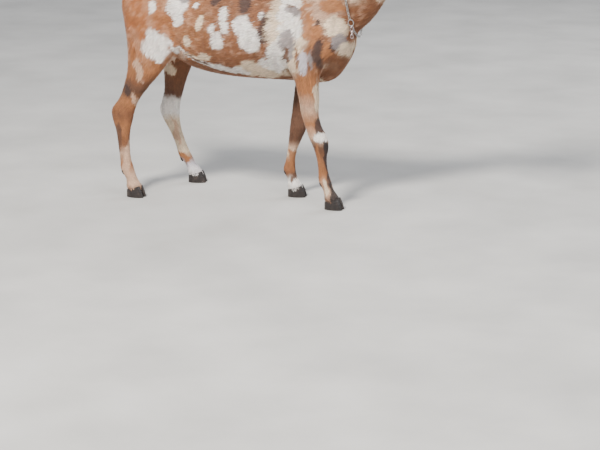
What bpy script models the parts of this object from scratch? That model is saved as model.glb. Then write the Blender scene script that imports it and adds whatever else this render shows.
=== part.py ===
"""A life-size Nubian goat doe standing on all four feet, with a chain collar, as a still museum model.

+X is forward, +Y the animal's left, +Z up, all in metres. The body is lofted from named sections, joined
into one skin by voxels, softened where limbs meet the trunk, and then parted with thin flat cuts.
"""

import math

import bmesh
import bpy
import numpy as np
from mathutils import Matrix, Vector
from mathutils.bvhtree import BVHTree

# Driving dimensions
WITHERS_HEIGHT = 0.775
CHEST_FLOOR = 0.413
GAP = 0.0003
BODY_VOXEL = 0.0050
HEAD_VOXEL = 0.0026
BODY_TRIANGLES = 6300
HEAD_TRIANGLES = 2600

# Sections of the trunk from rump to chest:
# x, top, bottom, half width, level of the widest part, squareness, pinch above, pinch below
TRUNK = [
    (-0.412, 0.690, 0.610, 0.030, 0.50, 2.0, 0.00, 0.00),
    (-0.390, 0.724, 0.560, 0.062, 0.55, 2.2, 0.10, 0.10),
    (-0.340, 0.754, 0.515, 0.086, 0.60, 2.3, 0.18, 0.15),
    (-0.250, 0.775, 0.482, 0.102, 0.62, 2.4, 0.22, 0.15),
    (-0.170, 0.772, 0.443, 0.116, 0.50, 2.3, 0.25, 0.10),
    (-0.070, 0.764, 0.422, 0.136, 0.43, 2.2, 0.25, 0.06),
    (0.030, 0.758, 0.415, 0.140, 0.42, 2.2, 0.28, 0.06),
    (0.120, 0.765, CHEST_FLOOR, 0.124, 0.42, 2.1, 0.36, 0.10),
    (0.200, WITHERS_HEIGHT, CHEST_FLOOR, 0.106, 0.42, 2.1, 0.45, 0.18),
    (0.280, 0.760, 0.414, 0.096, 0.42, 2.1, 0.42, 0.22),
    (0.340, 0.710, 0.432, 0.082, 0.45, 2.0, 0.20, 0.22),
    (0.385, 0.650, 0.488, 0.056, 0.48, 2.0, 0.05, 0.15),
    (0.405, 0.600, 0.530, 0.026, 0.50, 2.0, 0.00, 0.00),
]

# Sections of the neck from the chest to the poll: x, z, depth above, depth below, half width
NECK = [
    (0.225, 0.640, 0.120, 0.150, 0.082),
    (0.300, 0.676, 0.110, 0.143, 0.078),
    (0.370, 0.737, 0.096, 0.142, 0.066),
    (0.435, 0.806, 0.082, 0.118, 0.056),
    (0.494, 0.880, 0.071, 0.092, 0.050),
    (0.542, 0.950, 0.058, 0.070, 0.047),
    (0.574, 0.998, 0.043, 0.058, 0.044),
    (0.604, 1.022, 0.022, 0.045, 0.036),
]

# How much narrower the neck and the tail are above and below than an oval
NECK_PINCH = (0.35, 0.20)
TAIL_PINCH = (0.1, 0.1)

# Sections of the tail, which is held up: x, z, depth behind, depth in front, half width
TAIL = [
    (-0.340, 0.714, 0.022, 0.026, 0.032),
    (-0.392, 0.738, 0.020, 0.024, 0.034),
    (-0.428, 0.762, 0.018, 0.023, 0.037),
    (-0.456, 0.794, 0.016, 0.020, 0.037),
    (-0.470, 0.830, 0.013, 0.017, 0.031),
    (-0.472, 0.864, 0.006, 0.009, 0.012),
]

# Sections of each leg from the trunk down: x, y, z, reach forward, reach back, half width.
# The right side is negative y. The right foreleg and the left hind leg are the ones set forward.
FORELEG_RIGHT = [
    (0.262, -0.058, 0.640, 0.050, 0.050, 0.024),
    (0.275, -0.070, 0.580, 0.062, 0.070, 0.034),
    (0.272, -0.079, 0.520, 0.064, 0.078, 0.038),
    (0.265, -0.085, 0.470, 0.050, 0.064, 0.036),
    (0.268, -0.086, 0.420, 0.040, 0.045, 0.030),
    (0.273, -0.085, 0.365, 0.034, 0.037, 0.026),
    (0.277, -0.083, 0.310, 0.028, 0.031, 0.022),
    (0.287, -0.082, 0.272, 0.030, 0.028, 0.022),
    (0.299, -0.081, 0.240, 0.036, 0.029, 0.025),
    (0.308, -0.080, 0.208, 0.029, 0.023, 0.022),
    (0.314, -0.079, 0.170, 0.017, 0.018, 0.0155),
    (0.320, -0.079, 0.125, 0.016, 0.018, 0.0150),
    (0.326, -0.078, 0.090, 0.021, 0.022, 0.0200),
    (0.337, -0.078, 0.064, 0.019, 0.018, 0.0180),
    (0.348, -0.078, 0.040, 0.024, 0.024, 0.0235),
    (0.352, -0.078, 0.020, 0.022, 0.022, 0.0220),
]
FORELEG_LEFT = [
    (0.262, 0.058, 0.640, 0.050, 0.050, 0.024),
    (0.268, 0.070, 0.580, 0.062, 0.070, 0.034),
    (0.255, 0.079, 0.520, 0.064, 0.074, 0.038),
    (0.232, 0.082, 0.470, 0.054, 0.060, 0.036),
    (0.216, 0.079, 0.420, 0.042, 0.044, 0.030),
    (0.205, 0.074, 0.365, 0.035, 0.036, 0.026),
    (0.195, 0.069, 0.310, 0.029, 0.031, 0.022),
    (0.188, 0.066, 0.272, 0.028, 0.028, 0.022),
    (0.184, 0.063, 0.236, 0.030, 0.028, 0.025),
    (0.177, 0.061, 0.204, 0.024, 0.023, 0.022),
    (0.168, 0.058, 0.166, 0.017, 0.018, 0.0155),
    (0.161, 0.056, 0.122, 0.016, 0.018, 0.0150),
    (0.158, 0.054, 0.088, 0.021, 0.022, 0.0200),
    (0.168, 0.052, 0.063, 0.019, 0.018, 0.0180),
    (0.178, 0.050, 0.040, 0.024, 0.024, 0.0235),
    (0.182, 0.050, 0.020, 0.022, 0.022, 0.0220),
]
HIND_RIGHT = [
    (-0.300, -0.048, 0.715, 0.060, 0.075, 0.030),
    (-0.305, -0.060, 0.660, 0.080, 0.094, 0.045),
    (-0.302, -0.068, 0.600, 0.092, 0.086, 0.050),
    (-0.298, -0.076, 0.540, 0.098, 0.078, 0.048),
    (-0.300, -0.084, 0.480, 0.086, 0.071, 0.042),
    (-0.314, -0.092, 0.425, 0.064, 0.058, 0.034),
    (-0.340, -0.099, 0.375, 0.046, 0.043, 0.027),
    (-0.364, -0.104, 0.332, 0.038, 0.036, 0.023),
    (-0.380, -0.107, 0.298, 0.040, 0.045, 0.0235),
    (-0.385, -0.109, 0.266, 0.037, 0.037, 0.0230),
    (-0.383, -0.111, 0.230, 0.026, 0.027, 0.0190),
    (-0.379, -0.114, 0.175, 0.019, 0.022, 0.0165),
    (-0.373, -0.117, 0.125, 0.019, 0.021, 0.0165),
    (-0.366, -0.119, 0.090, 0.023, 0.024, 0.0205),
    (-0.353, -0.121, 0.064, 0.020, 0.019, 0.0185),
    (-0.344, -0.122, 0.040, 0.025, 0.025, 0.0235),
    (-0.340, -0.122, 0.020, 0.022, 0.022, 0.0220),
]
HIND_LEFT = [
    (-0.300, 0.048, 0.715, 0.060, 0.075, 0.030),
    (-0.303, 0.060, 0.660, 0.080, 0.092, 0.045),
    (-0.294, 0.070, 0.600, 0.092, 0.086, 0.050),
    (-0.280, 0.079, 0.540, 0.096, 0.082, 0.048),
    (-0.270, 0.088, 0.480, 0.078, 0.076, 0.042),
    (-0.266, 0.098, 0.425, 0.056, 0.056, 0.034),
    (-0.274, 0.107, 0.375, 0.040, 0.044, 0.028),
    (-0.286, 0.113, 0.325, 0.034, 0.036, 0.0235),
    (-0.298, 0.117, 0.285, 0.034, 0.036, 0.0230),
    (-0.304, 0.119, 0.258, 0.036, 0.038, 0.0235),
    (-0.300, 0.122, 0.228, 0.030, 0.032, 0.0220),
    (-0.284, 0.126, 0.180, 0.021, 0.023, 0.0175),
    (-0.267, 0.131, 0.130, 0.020, 0.021, 0.0165),
    (-0.252, 0.135, 0.088, 0.023, 0.024, 0.0205),
    (-0.235, 0.138, 0.062, 0.020, 0.019, 0.0185),
    (-0.222, 0.140, 0.040, 0.025, 0.025, 0.0235),
    (-0.216, 0.140, 0.020, 0.022, 0.022, 0.0220),
]
LEGS = {
    "foreleg_right": FORELEG_RIGHT,
    "foreleg_left": FORELEG_LEFT,
    "hind_leg_right": HIND_RIGHT,
    "hind_leg_left": HIND_LEFT,
}

# The head has its own frame: u runs from the poll to the nose, v stands square to the face, w is left
POLL = Vector((0.6285, 0.0, 1.041))
FACE_SLOPE = math.radians(38)
HEAD_U = Vector((math.cos(FACE_SLOPE), 0.0, -math.sin(FACE_SLOPE)))
HEAD_V = Vector((math.sin(FACE_SLOPE), 0.0, math.cos(FACE_SLOPE)))
HEAD_W = Vector((0.0, 1.0, 0.0))

# Sections of the head: u, top, bottom, half width, level of the widest part, squareness, pinch above, below
HEAD = [
    (-0.030, -0.022, -0.085, 0.028, 0.50, 2.0, 0.00, 0.00),
    (-0.010, -0.004, -0.108, 0.044, 0.55, 2.1, 0.10, 0.10),
    (0.025, 0.007, -0.128, 0.055, 0.60, 2.3, 0.14, 0.22),
    (0.060, 0.017, -0.131, 0.059, 0.68, 2.4, 0.15, 0.34),
    (0.095, 0.022, -0.124, 0.057, 0.70, 2.4, 0.18, 0.42),
    (0.125, 0.025, -0.109, 0.048, 0.66, 2.3, 0.28, 0.40),
    (0.155, 0.0255, -0.092, 0.040, 0.58, 2.2, 0.32, 0.32),
    (0.185, 0.0235, -0.080, 0.035, 0.52, 2.2, 0.30, 0.24),
    (0.212, 0.0180, -0.074, 0.0320, 0.50, 2.3, 0.22, 0.20),
    (0.235, 0.0110, -0.0735, 0.0325, 0.48, 2.5, 0.14, 0.15),
    (0.253, 0.0020, -0.0740, 0.0315, 0.48, 2.6, 0.08, 0.12),
    (0.264, -0.0080, -0.0700, 0.0250, 0.48, 2.6, 0.04, 0.06),
    (0.270, -0.0240, -0.0580, 0.0120, 0.50, 2.3, 0.00, 0.00),
]


def clear_scene():
    for old in list(bpy.data.objects):
        bpy.data.objects.remove(old, do_unlink=True)


def spline(rows, count):
    """The rows of a table, resampled by a Catmull-Rom curve through them at even steps along it."""
    rows = np.asarray(rows, float)
    steps = np.linalg.norm(np.diff(rows[:, :3], axis=0), axis=1)
    at = np.concatenate([[0.0], np.cumsum(steps)])
    slopes = np.gradient(rows, at, axis=0)
    wanted = np.linspace(0.0, at[-1], count)
    low = np.clip(np.searchsorted(at, wanted, side="right") - 1, 0, len(at) - 2)
    width = (at[low + 1] - at[low])[:, None]
    t = (wanted - at[low])[:, None] / width
    return (
        (2 * t**3 - 3 * t**2 + 1) * rows[low]
        + (t**3 - 2 * t**2 + t) * width * slopes[low]
        + (3 * t**2 - 2 * t**3) * rows[low + 1]
        + (t**3 - t**2) * width * slopes[low + 1]
    )


def loft(centres, ups, sides, rise, drop, half, square, pinch_up, pinch_down, corners):
    """Points and faces of a closed tube of oval sections, each with its own height, width and squareness."""
    turn = np.arange(corners) * 2 * math.pi / corners
    power = (2.0 / np.asarray(square))[:, None]
    up = np.sign(np.cos(turn)) * np.abs(np.cos(turn)) ** power
    side = np.sign(np.sin(turn)) * np.abs(np.sin(turn)) ** power
    height = np.where(up > 0, up * np.asarray(rise)[:, None], up * np.asarray(drop)[:, None])
    above = np.asarray(pinch_up)[:, None] * np.clip(up, 0, 1) ** 1.5
    below = np.asarray(pinch_down)[:, None] * np.clip(-up, 0, 1) ** 1.5
    width = side * np.asarray(half)[:, None] * (1 - above - below)
    points = centres[:, None] + height[:, :, None] * ups[:, None] + width[:, :, None] * sides[:, None]
    rings = len(centres)
    points = np.concatenate([points.reshape(-1, 3), centres[:1], centres[-1:]])
    faces = []
    for i in range(rings - 1):
        for j in range(corners):
            k = (j + 1) % corners
            faces.append((i * corners + j, i * corners + k, (i + 1) * corners + k, (i + 1) * corners + j))
    first, last = rings * corners, rings * corners + 1
    for j in range(corners):
        k = (j + 1) % corners
        faces.append((first, k, j))
        faces.append((last, (rings - 1) * corners + j, (rings - 1) * corners + k))
    return points, faces


def mesh_object(name, points, faces):
    mesh = bpy.data.meshes.new(name)
    mesh.from_pydata([tuple(p) for p in points], [], faces)
    made = bmesh.new()
    made.from_mesh(mesh)
    bmesh.ops.recalc_face_normals(made, faces=made.faces)
    made.to_mesh(mesh)
    made.free()
    obj = bpy.data.objects.new(name, mesh)
    bpy.context.scene.collection.objects.link(obj)
    return obj


def directions(count, vector):
    return np.tile(np.asarray(vector, float), (count, 1))


def levelled(table, rings, ahead, up):
    """Arguments of loft() for sections given by top, bottom and the level of the widest part."""
    t = spline(np.asarray(table), rings)
    centre = t[:, 2] + t[:, 4] * (t[:, 1] - t[:, 2])
    centres = t[:, :1] * np.asarray(ahead) + centre[:, None] * np.asarray(up)
    return (centres, directions(rings, up), directions(rings, (0, 1, 0)), t[:, 1] - centre, centre - t[:, 2],
            t[:, 3], t[:, 5], t[:, 6], t[:, 7])


def trunk(rings=60, corners=48):
    return mesh_object("trunk", *loft(*levelled(TRUNK, rings, (1, 0, 0), (0, 0, 1)), corners))


def ridge(name, table, rings, corners, pinch_up, pinch_down):
    """A tube along a path in the plane of symmetry, such as the neck or the tail."""
    t = spline([(x, 0.0, z, rise, drop, half) for x, z, rise, drop, half in table], rings)
    centres = t[:, :3]
    along = np.gradient(centres, axis=0)
    along /= np.linalg.norm(along, axis=1)[:, None]
    ups = np.stack([-along[:, 2], np.zeros(rings), along[:, 0]], axis=1)
    plain = np.zeros(rings)
    shape = loft(centres, ups, directions(rings, (0, 1, 0)), t[:, 3], t[:, 4], t[:, 5], plain + 2.1,
                 plain + pinch_up, plain + pinch_down, corners)
    return mesh_object(name, *shape)


def head_point(u, v, w):
    return POLL + u * HEAD_U + v * HEAD_V + w * HEAD_W


def head_loft(rings=64, corners=48):
    centres, ups, sides, *rest = levelled(HEAD, rings, HEAD_U, HEAD_V)
    return mesh_object("head_loft", *loft(centres + np.asarray(POLL), ups, sides, *rest, corners))


def leg(name, table, rings=70, corners=28):
    t = spline(table, rings)
    plain = np.zeros(rings)
    ups, sides = directions(rings, (1, 0, 0)), directions(rings, (0, 1, 0))
    shape = loft(t[:, :3], ups, sides, t[:, 3], t[:, 4], t[:, 5], plain + 2.1, plain, plain, corners)
    return mesh_object(name, *shape)


def joined(name, objects):
    """One mesh object with the shapes of several, which are removed."""
    made = bmesh.new()
    for obj in objects:
        made.from_mesh(obj.data)
        bpy.data.objects.remove(obj, do_unlink=True)
    mesh = bpy.data.meshes.new(name)
    made.to_mesh(mesh)
    made.free()
    obj = bpy.data.objects.new(name, mesh)
    bpy.context.scene.collection.objects.link(obj)
    return obj


def apply_modifiers(obj):
    bpy.context.view_layer.update()
    graph = bpy.context.evaluated_depsgraph_get()
    obj.data = bpy.data.meshes.new_from_object(obj.evaluated_get(graph))
    obj.modifiers.clear()
    return obj


def one_skin(obj, voxel):
    remesh = obj.modifiers.new("one skin", "REMESH")
    remesh.mode = "VOXEL"
    remesh.voxel_size = voxel
    return apply_modifiers(obj)


def points_of(obj):
    points = np.empty(len(obj.data.vertices) * 3)
    obj.data.vertices.foreach_get("co", points)
    return points.reshape(-1, 3)


def normals_of(obj):
    normals = np.empty(len(obj.data.vertices) * 3)
    obj.data.vertex_normals.foreach_get("vector", normals)
    return normals.reshape(-1, 3)


def set_points(obj, points):
    obj.data.vertices.foreach_set("co", points.ravel())
    obj.data.update()


def relax(obj, zones, voxel):
    """Softens the skin inside each zone (centre, radius, reach): reach is the length that is evened out."""
    points = points_of(obj)
    ends = np.empty(len(obj.data.edges) * 2, int)
    obj.data.edges.foreach_get("vertices", ends)
    a, b = ends.reshape(-1, 2).T
    count = np.bincount(a, minlength=len(points)) + np.bincount(b, minlength=len(points))
    for centre, radius, reach in zones:
        away = np.linalg.norm((points - np.asarray(centre)), axis=1) / radius
        share = np.clip(1.5 * (1 - away), 0, 1)[:, None] * 0.6
        for _ in range(max(1, round((reach / voxel) ** 2))):
            mean = np.stack(
                [np.bincount(a, points[b, i], len(points)) + np.bincount(b, points[a, i], len(points))
                 for i in range(3)], axis=1) / count[:, None]
            points += share * (mean - points)
    set_points(obj, points)


def press(obj, brushes, axes=((1, 0, 0), (0, 1, 0), (0, 0, 1)), origin=(0, 0, 0)):
    """Raises or sinks the skin by each brush (centre, radii, height), alike on both sides of the body."""
    points, normals = points_of(obj), normals_of(obj)
    local = (points - np.asarray(origin)) @ np.asarray(axes).T
    moved = np.zeros(len(points))
    for centre, radii, height in brushes:
        for side in ((1,) if centre[1] == 0 else (1, -1)):
            away = (local - np.array([centre[0], side * centre[1], centre[2]])) / np.asarray(radii)
            moved += height * np.exp(-np.sum(away**2, axis=1))
    set_points(obj, points + moved[:, None] * normals)


# Where the skin is softened: centre, radius, reach
SOFT_ZONES = [
    ((0.27, -0.08, 0.47), 0.13, 0.022),
    ((0.24, 0.08, 0.47), 0.13, 0.022),
    ((0.28, -0.06, 0.60), 0.12, 0.016),
    ((0.28, 0.06, 0.60), 0.12, 0.016),
    ((-0.25, -0.08, 0.52), 0.17, 0.024),
    ((-0.25, 0.08, 0.52), 0.17, 0.024),
    ((-0.34, 0.00, 0.62), 0.14, 0.024),
    ((0.34, 0.00, 0.64), 0.22, 0.026),
    ((0.22, 0.00, 0.76), 0.14, 0.020),
    ((0.570, 0.00, 0.96), 0.12, 0.013),
    ((-0.395, 0.00, 0.740), 0.06, 0.010),
]

# Muscle and bone under the skin: centre on the left side, radii, height
BODY_BRUSHES = [
    ((0.345, 0.078, 0.520), (0.040, 0.040, 0.045), 0.010),
    ((0.200, 0.105, 0.540), (0.060, 0.050, 0.060), 0.009),
    ((0.130, 0.115, 0.460), (0.035, 0.050, 0.045), -0.008),
    ((0.235, 0.080, 0.680), (0.035, 0.050, 0.080), 0.007),
    ((0.300, 0.070, 0.640), (0.028, 0.050, 0.070), -0.005),
    ((-0.240, 0.085, 0.752), (0.034, 0.030, 0.022), 0.013),
    ((-0.155, 0.100, 0.700), (0.055, 0.060, 0.042), -0.014),
    ((-0.405, 0.042, 0.695), (0.025, 0.025, 0.022), 0.010),
    ((-0.345, 0.080, 0.725), (0.040, 0.050, 0.025), -0.006),
    ((-0.300, 0.105, 0.590), (0.060, 0.050, 0.070), 0.009),
    ((-0.205, 0.105, 0.500), (0.030, 0.050, 0.040), 0.006),
    ((0.300, 0.000, 0.420), (0.070, 0.030, 0.030), 0.006),
]


# Bone and muscle of the head in its own frame (along, left, square to the face): centre, radii, height
HEAD_BRUSHES = [
    ((0.082, 0.050, 0.004), (0.024, 0.018, 0.014), 0.0060),
    ((0.100, 0.052, -0.036), (0.030, 0.020, 0.010), 0.0035),
    ((0.130, 0.042, -0.020), (0.020, 0.015, 0.016), -0.0035),
    ((0.050, 0.055, -0.085), (0.030, 0.025, 0.030), 0.0050),
    ((0.150, 0.036, -0.062), (0.035, 0.020, 0.016), -0.0030),
    ((0.028, 0.022, 0.004), (0.012, 0.012, 0.014), 0.0035),
    ((0.246, 0.021, -0.008), (0.012, 0.010, 0.012), 0.0026),
    ((0.262, 0.000, -0.012), (0.012, 0.010, 0.014), -0.0020),
    ((0.250, 0.024, -0.034), (0.018, 0.014, 0.008), 0.0020),
    ((0.240, 0.026, -0.058), (0.018, 0.015, 0.008), 0.0016),
    ((0.238, 0.000, -0.074), (0.018, 0.020, 0.012), 0.0030),
    ((0.215, 0.012, -0.078), (0.022, 0.018, 0.010), -0.0020),
    ((0.205, 0.028, -0.028), (0.020, 0.015, 0.012), -0.0018),
    ((0.110, 0.000, 0.026), (0.030, 0.020, 0.012), 0.0015),
    ((0.060, 0.000, 0.018), (0.018, 0.024, 0.012), 0.0025),
]

# The eyes: place of the left one in the head's frame, radius of the ball, thickness of the lids,
# length and height of the opening between them, and the tilt of its line
EYE_PLACE = (0.090, 0.0455, -0.010)
EYE_RADIUS = 0.0135
LID = 0.0024
EYE_OPENING = (0.0265, 0.0165)
EYE_TILT = math.radians(-14)

# The mouth's line from the middle of the lips back to its corner, and how it is cut
MOUTH = [(0.266, 0.000, -0.047), (0.257, 0.016, -0.047), (0.238, 0.030, -0.046), (0.210, 0.034, -0.044),
         (0.182, 0.036, -0.047)]
MOUTH_RADIUS = 0.0017
NOSE_MIDDLE = (0.225, 0.0, -0.030)
NOSTRIL_AIM = (0.0300, 0.0180, 0.0170)
NOSTRIL_RADII = (0.0095, 0.0034, 0.0065)

# The ears hang: points of the left one's middle line from its root, measured from the root's place
EAR_ROOT = (0.006, 0.047, -0.026)
EAR_LINE = [(0.000, -0.014, 0.004), (-0.004, 0.012, 0.004), (-0.004, 0.028, -0.012), (0.000, 0.037, -0.050),
            (0.008, 0.041, -0.110), (0.020, 0.046, -0.175), (0.035, 0.053, -0.235), (0.041, 0.057, -0.256),
            (0.045, 0.059, -0.268)]
EAR_HALF_WIDTH = [0.017, 0.024, 0.033, 0.045, 0.054, 0.055, 0.0435, 0.0305, 0.009]
EAR_CURL = [115, 110, 95, 62, 42, 34, 30, 28, 26]
EAR_THICKNESS = 0.0044

# The udder of a young doe, and its left teat
UDDER_PLACE = (-0.262, 0.0, 0.492)
UDDER_RADII = (0.054, 0.047, 0.042)
TEAT_PLACE = (-0.246, 0.026, 0.449)
TEAT_RADII = (0.0105, 0.0105, 0.0215)

# Each hoof: the leg it belongs to, the middle of its top, and how far it points outward
HOOVES = {
    "foreleg_right": (0.351, -0.078, math.radians(-4)),
    "foreleg_left": (0.180, 0.050, math.radians(4)),
    "hind_leg_right": (-0.342, -0.122, math.radians(-6)),
    "hind_leg_left": (-0.219, 0.140, math.radians(6)),
}
HOOF_BACK = 0.024
HOOF_TOP_FRONT = 0.024
HOOF_SOLE_FRONT = 0.038
CLAW_WIDTH = 0.0228
CLEFT = 0.0022
CORONET_HEIGHT = 0.033
CORONET_SLOPE = 0.30
# Rings of a claw from the sole up: shares of the height, of the sole's reach forward and of the width
CLAW_RINGS = ((0.0, 0.93, 0.90), (0.07, 1.0, 1.0), (0.5, 0.62, 1.0), (1.0, 0.0, 0.94))
CLAW_POINT = 0.42

# Each dewclaw: how far back and out it sits in shares of the pastern's size, how far down, and its lean
DEWCLAW_BACK = 0.68
DEWCLAW_OUT = 0.52
DEWCLAW_DROP = 0.006
DEWCLAW_RADII = (0.0064, 0.0056, 0.0092)
DEWCLAW_LEAN = math.radians(-28)

# The chain collar hangs from the nape; a ring on the right side takes a snap
COLLAR_MIDDLE = Vector((0.388, 0.0, 0.700))
COLLAR_UP = Vector((-0.16, 0.0, 0.987)).normalized()
RING_TURN = math.radians(212)
LINK_LENGTH = 0.0150
LINK_WIDTH = 0.0085
LINK_THICKNESS = 0.0034
LINK_WAIST = 0.0023
RING_RADII = (0.0085, 0.0115)
RING_WIRE = 0.0017
# The chain stands off the skin by the coat's depth and hangs a little free below the throat
COLLAR_OFF = 0.0020
COLLAR_HANG = 0.004
# The snap hangs along this line; its depth below the ring and half thickness at each section
SNAP_LINE = Vector((0.05, -0.10, -1.0)).normalized()
SNAP = [(0.000, 0.0020), (0.003, 0.0034), (0.008, 0.0048), (0.014, 0.0052), (0.019, 0.0036),
        (0.0215, 0.0030), (0.024, 0.0046), (0.029, 0.0052), (0.034, 0.0040), (0.037, 0.0016)]
SNAP_WIDTH = 1.25

SHARP_FROM = math.radians(40)
FINISHES = {
    "coat": ((0.46, 0.24, 0.12), 0.80, 0.0),
    "horn": ((0.07, 0.055, 0.05), 0.45, 0.0),
    "eye": ((0.45, 0.26, 0.06), 0.08, 0.0),
    "steel": ((0.62, 0.60, 0.58), 0.32, 1.0),
}


def finish(name):
    """The material of that name, made once."""
    if name in bpy.data.materials:
        return bpy.data.materials[name]
    colour, roughness, metallic = FINISHES[name]
    made = bpy.data.materials.new(name)
    made.use_nodes = True
    shader = made.node_tree.nodes["Principled BSDF"]
    shader.inputs["Base Color"].default_value = (*colour, 1.0)
    shader.inputs["Roughness"].default_value = roughness
    shader.inputs["Metallic"].default_value = metallic
    return made


def as_node(obj, name, material):
    """Names a finished piece, gives it its material and smooth shading, and files it with the goat."""
    obj.name = name
    obj.data.name = name
    obj.data.materials.clear()
    obj.data.materials.append(finish(material))
    obj.data.shade_smooth()
    obj.data.set_sharp_from_angle(angle=SHARP_FROM)
    for held in list(obj.users_collection):
        held.objects.unlink(obj)
    goat.objects.link(obj)
    return obj


def copied(obj, name):
    made = bpy.data.objects.new(name, obj.data.copy())
    bpy.context.scene.collection.objects.link(made)
    return made


def region(planes):
    """A large closed block cut down to the side of each plane (point, normal) that its normal points to."""
    made = bmesh.new()
    bmesh.ops.create_cube(made, size=4.0)
    for point, normal in planes:
        everything = made.verts[:] + made.edges[:] + made.faces[:]
        bmesh.ops.bisect_plane(made, geom=everything, plane_co=point, plane_no=normal, clear_inner=True)
        bmesh.ops.holes_fill(made, edges=made.edges[:])
    bmesh.ops.recalc_face_normals(made, faces=made.faces)
    mesh = bpy.data.meshes.new("region")
    made.to_mesh(mesh)
    made.free()
    obj = bpy.data.objects.new("region", mesh)
    bpy.context.scene.collection.objects.link(obj)
    return obj


def moved_planes(planes, step):
    """The planes shifted so that the block they bound is smaller by step on every side."""
    return [(Vector(point) + Vector(normal).normalized() * step, Vector(normal)) for point, normal in planes]


def largest_piece(obj):
    made = bmesh.new()
    made.from_mesh(obj.data)
    made.verts.ensure_lookup_table()
    seen, best = set(), []
    for start in made.verts:
        if start in seen:
            continue
        piece, queue = [], [start]
        seen.add(start)
        while queue:
            vert = queue.pop()
            piece.append(vert)
            for edge in vert.link_edges:
                other = edge.other_vert(vert)
                if other not in seen:
                    seen.add(other)
                    queue.append(other)
        if len(piece) > len(best):
            best = piece
    kept = set(best)
    bmesh.ops.delete(made, geom=[v for v in made.verts if v not in kept], context="VERTS")
    made.to_mesh(obj.data)
    made.free()
    return obj


def cut(obj, cutters, operation, solver="EXACT"):
    """Takes the cutters away from a piece, joins them to it, or keeps what is inside them."""
    group = bpy.data.collections.new("cutting")
    for cutter in cutters:
        group.objects.link(cutter)
    boolean = obj.modifiers.new("cut", "BOOLEAN")
    boolean.operation = operation
    boolean.solver = solver
    boolean.operand_type = "COLLECTION"
    boolean.collection = group
    apply_modifiers(obj)
    for cutter in cutters:
        bpy.data.objects.remove(cutter, do_unlink=True)
    bpy.data.collections.remove(group)
    return largest_piece(obj)


def parted(obj, name, planes):
    """Parts a limb from a body along planes, with the gap between them, and returns the limb."""
    limb = cut(copied(obj, name), [region(moved_planes(planes, GAP / 2))], "INTERSECT")
    cut(obj, [region(moved_planes(planes, -GAP / 2))], "DIFFERENCE")
    return limb


def udder():
    """The small udder of a young doe, with its two teats."""
    shapes = [ball("bag", UDDER_PLACE, UDDER_RADII, 20, 12)]
    x, y, z = TEAT_PLACE
    for side in (1, -1):
        shapes.append(ball("teat", (x, side * y, z), TEAT_RADII, 12, 8))
    return shapes


def flesh(name, pieces, voxel, zones):
    skin = one_skin(joined(name, pieces), voxel)
    relax(skin, zones, voxel)
    return skin


def thinned(obj, triangles):
    """The skin with fewer, larger triangles."""
    obj.data.calc_loop_triangles()
    fewer = obj.modifiers.new("fewer", "DECIMATE")
    fewer.ratio = triangles / len(obj.data.loop_triangles)
    return apply_modifiers(obj)


def ball(name, centre, radii, segments, rings, frame=None):
    """A ball with a radius along each of three axes."""
    made = bmesh.new()
    turned = frame or Matrix.Identity(3)
    shape = Matrix.Translation(centre) @ turned.to_4x4() @ Matrix.Diagonal((*radii, 1.0))
    bmesh.ops.create_uvsphere(made, u_segments=segments, v_segments=rings, radius=1.0, matrix=shape)
    mesh = bpy.data.meshes.new(name)
    made.to_mesh(mesh)
    made.free()
    obj = bpy.data.objects.new(name, mesh)
    bpy.context.scene.collection.objects.link(obj)
    return obj


def eye_frame(side):
    """Where the eye looks: its columns are the line of the lids, up across them, and outward."""
    out = (0.20 * HEAD_U + 0.22 * HEAD_V + side * 0.955 * HEAD_W).normalized()
    along = (HEAD_U - HEAD_U.dot(out) * out).normalized()
    along.rotate(Matrix.Rotation(EYE_TILT * side, 3, out))
    across = out.cross(along) * side
    return along, across, out


def lid_opening(side, centre):
    """An almond-shaped block, from inside the eyeball out through the lids."""
    along, across, out = eye_frame(side)
    corners = 16
    rings = []
    for depth, growth in ((0.004, 0.8), (0.030, 1.35)):
        for i in range(corners):
            turn = 2 * math.pi * i / corners
            reach = math.cos(turn) * EYE_OPENING[0] / 2
            height = math.sin(turn) * abs(math.sin(turn)) ** 0.35 * EYE_OPENING[1] / 2
            rings.append(centre + out * depth + (along * reach + across * height) * growth)
    faces = [tuple(range(corners)), tuple(range(corners, 2 * corners))]
    faces += [(i, (i + 1) % corners, corners + (i + 1) % corners, corners + i) for i in range(corners)]
    return mesh_object("lid_opening", rings, faces)


def tube(name, path, radius, corners):
    """A closed round tube along points, for cutting or for wire."""
    path = np.asarray(path, float)
    along = np.gradient(path, axis=0)
    along /= np.linalg.norm(along, axis=1)[:, None]
    ups = np.cross(along, np.array([0.31, 0.17, 0.93]))
    ups /= np.linalg.norm(ups, axis=1)[:, None]
    sides = np.cross(along, ups)
    plain = np.full(len(path), radius)
    none = np.zeros(len(path))
    return mesh_object(name, *loft(path, ups, sides, plain, plain, plain, none + 2, none, none, corners))


def on_surface(tree, point, middle):
    """The place where a ray from the middle through the point leaves the surface."""
    ray = (point - middle).normalized()
    hit, normal, _, _ = tree.ray_cast(middle + ray * 0.5, -ray)
    return hit, normal


def mouth_cut(head):
    tree = BVHTree.FromObject(head, bpy.context.evaluated_depsgraph_get())
    half = spline(MOUTH, 12)
    points = [(u, -w, v) for u, w, v in half[:0:-1].tolist()] + half.tolist()
    path = []
    for u, w, v in points:
        hit, _ = on_surface(tree, head_point(u, v, w), head_point(min(u - 0.012, 0.225), v, w * 0.1))
        path.append(hit)
    return tube("mouth", path, MOUTH_RADIUS, 6)


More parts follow.
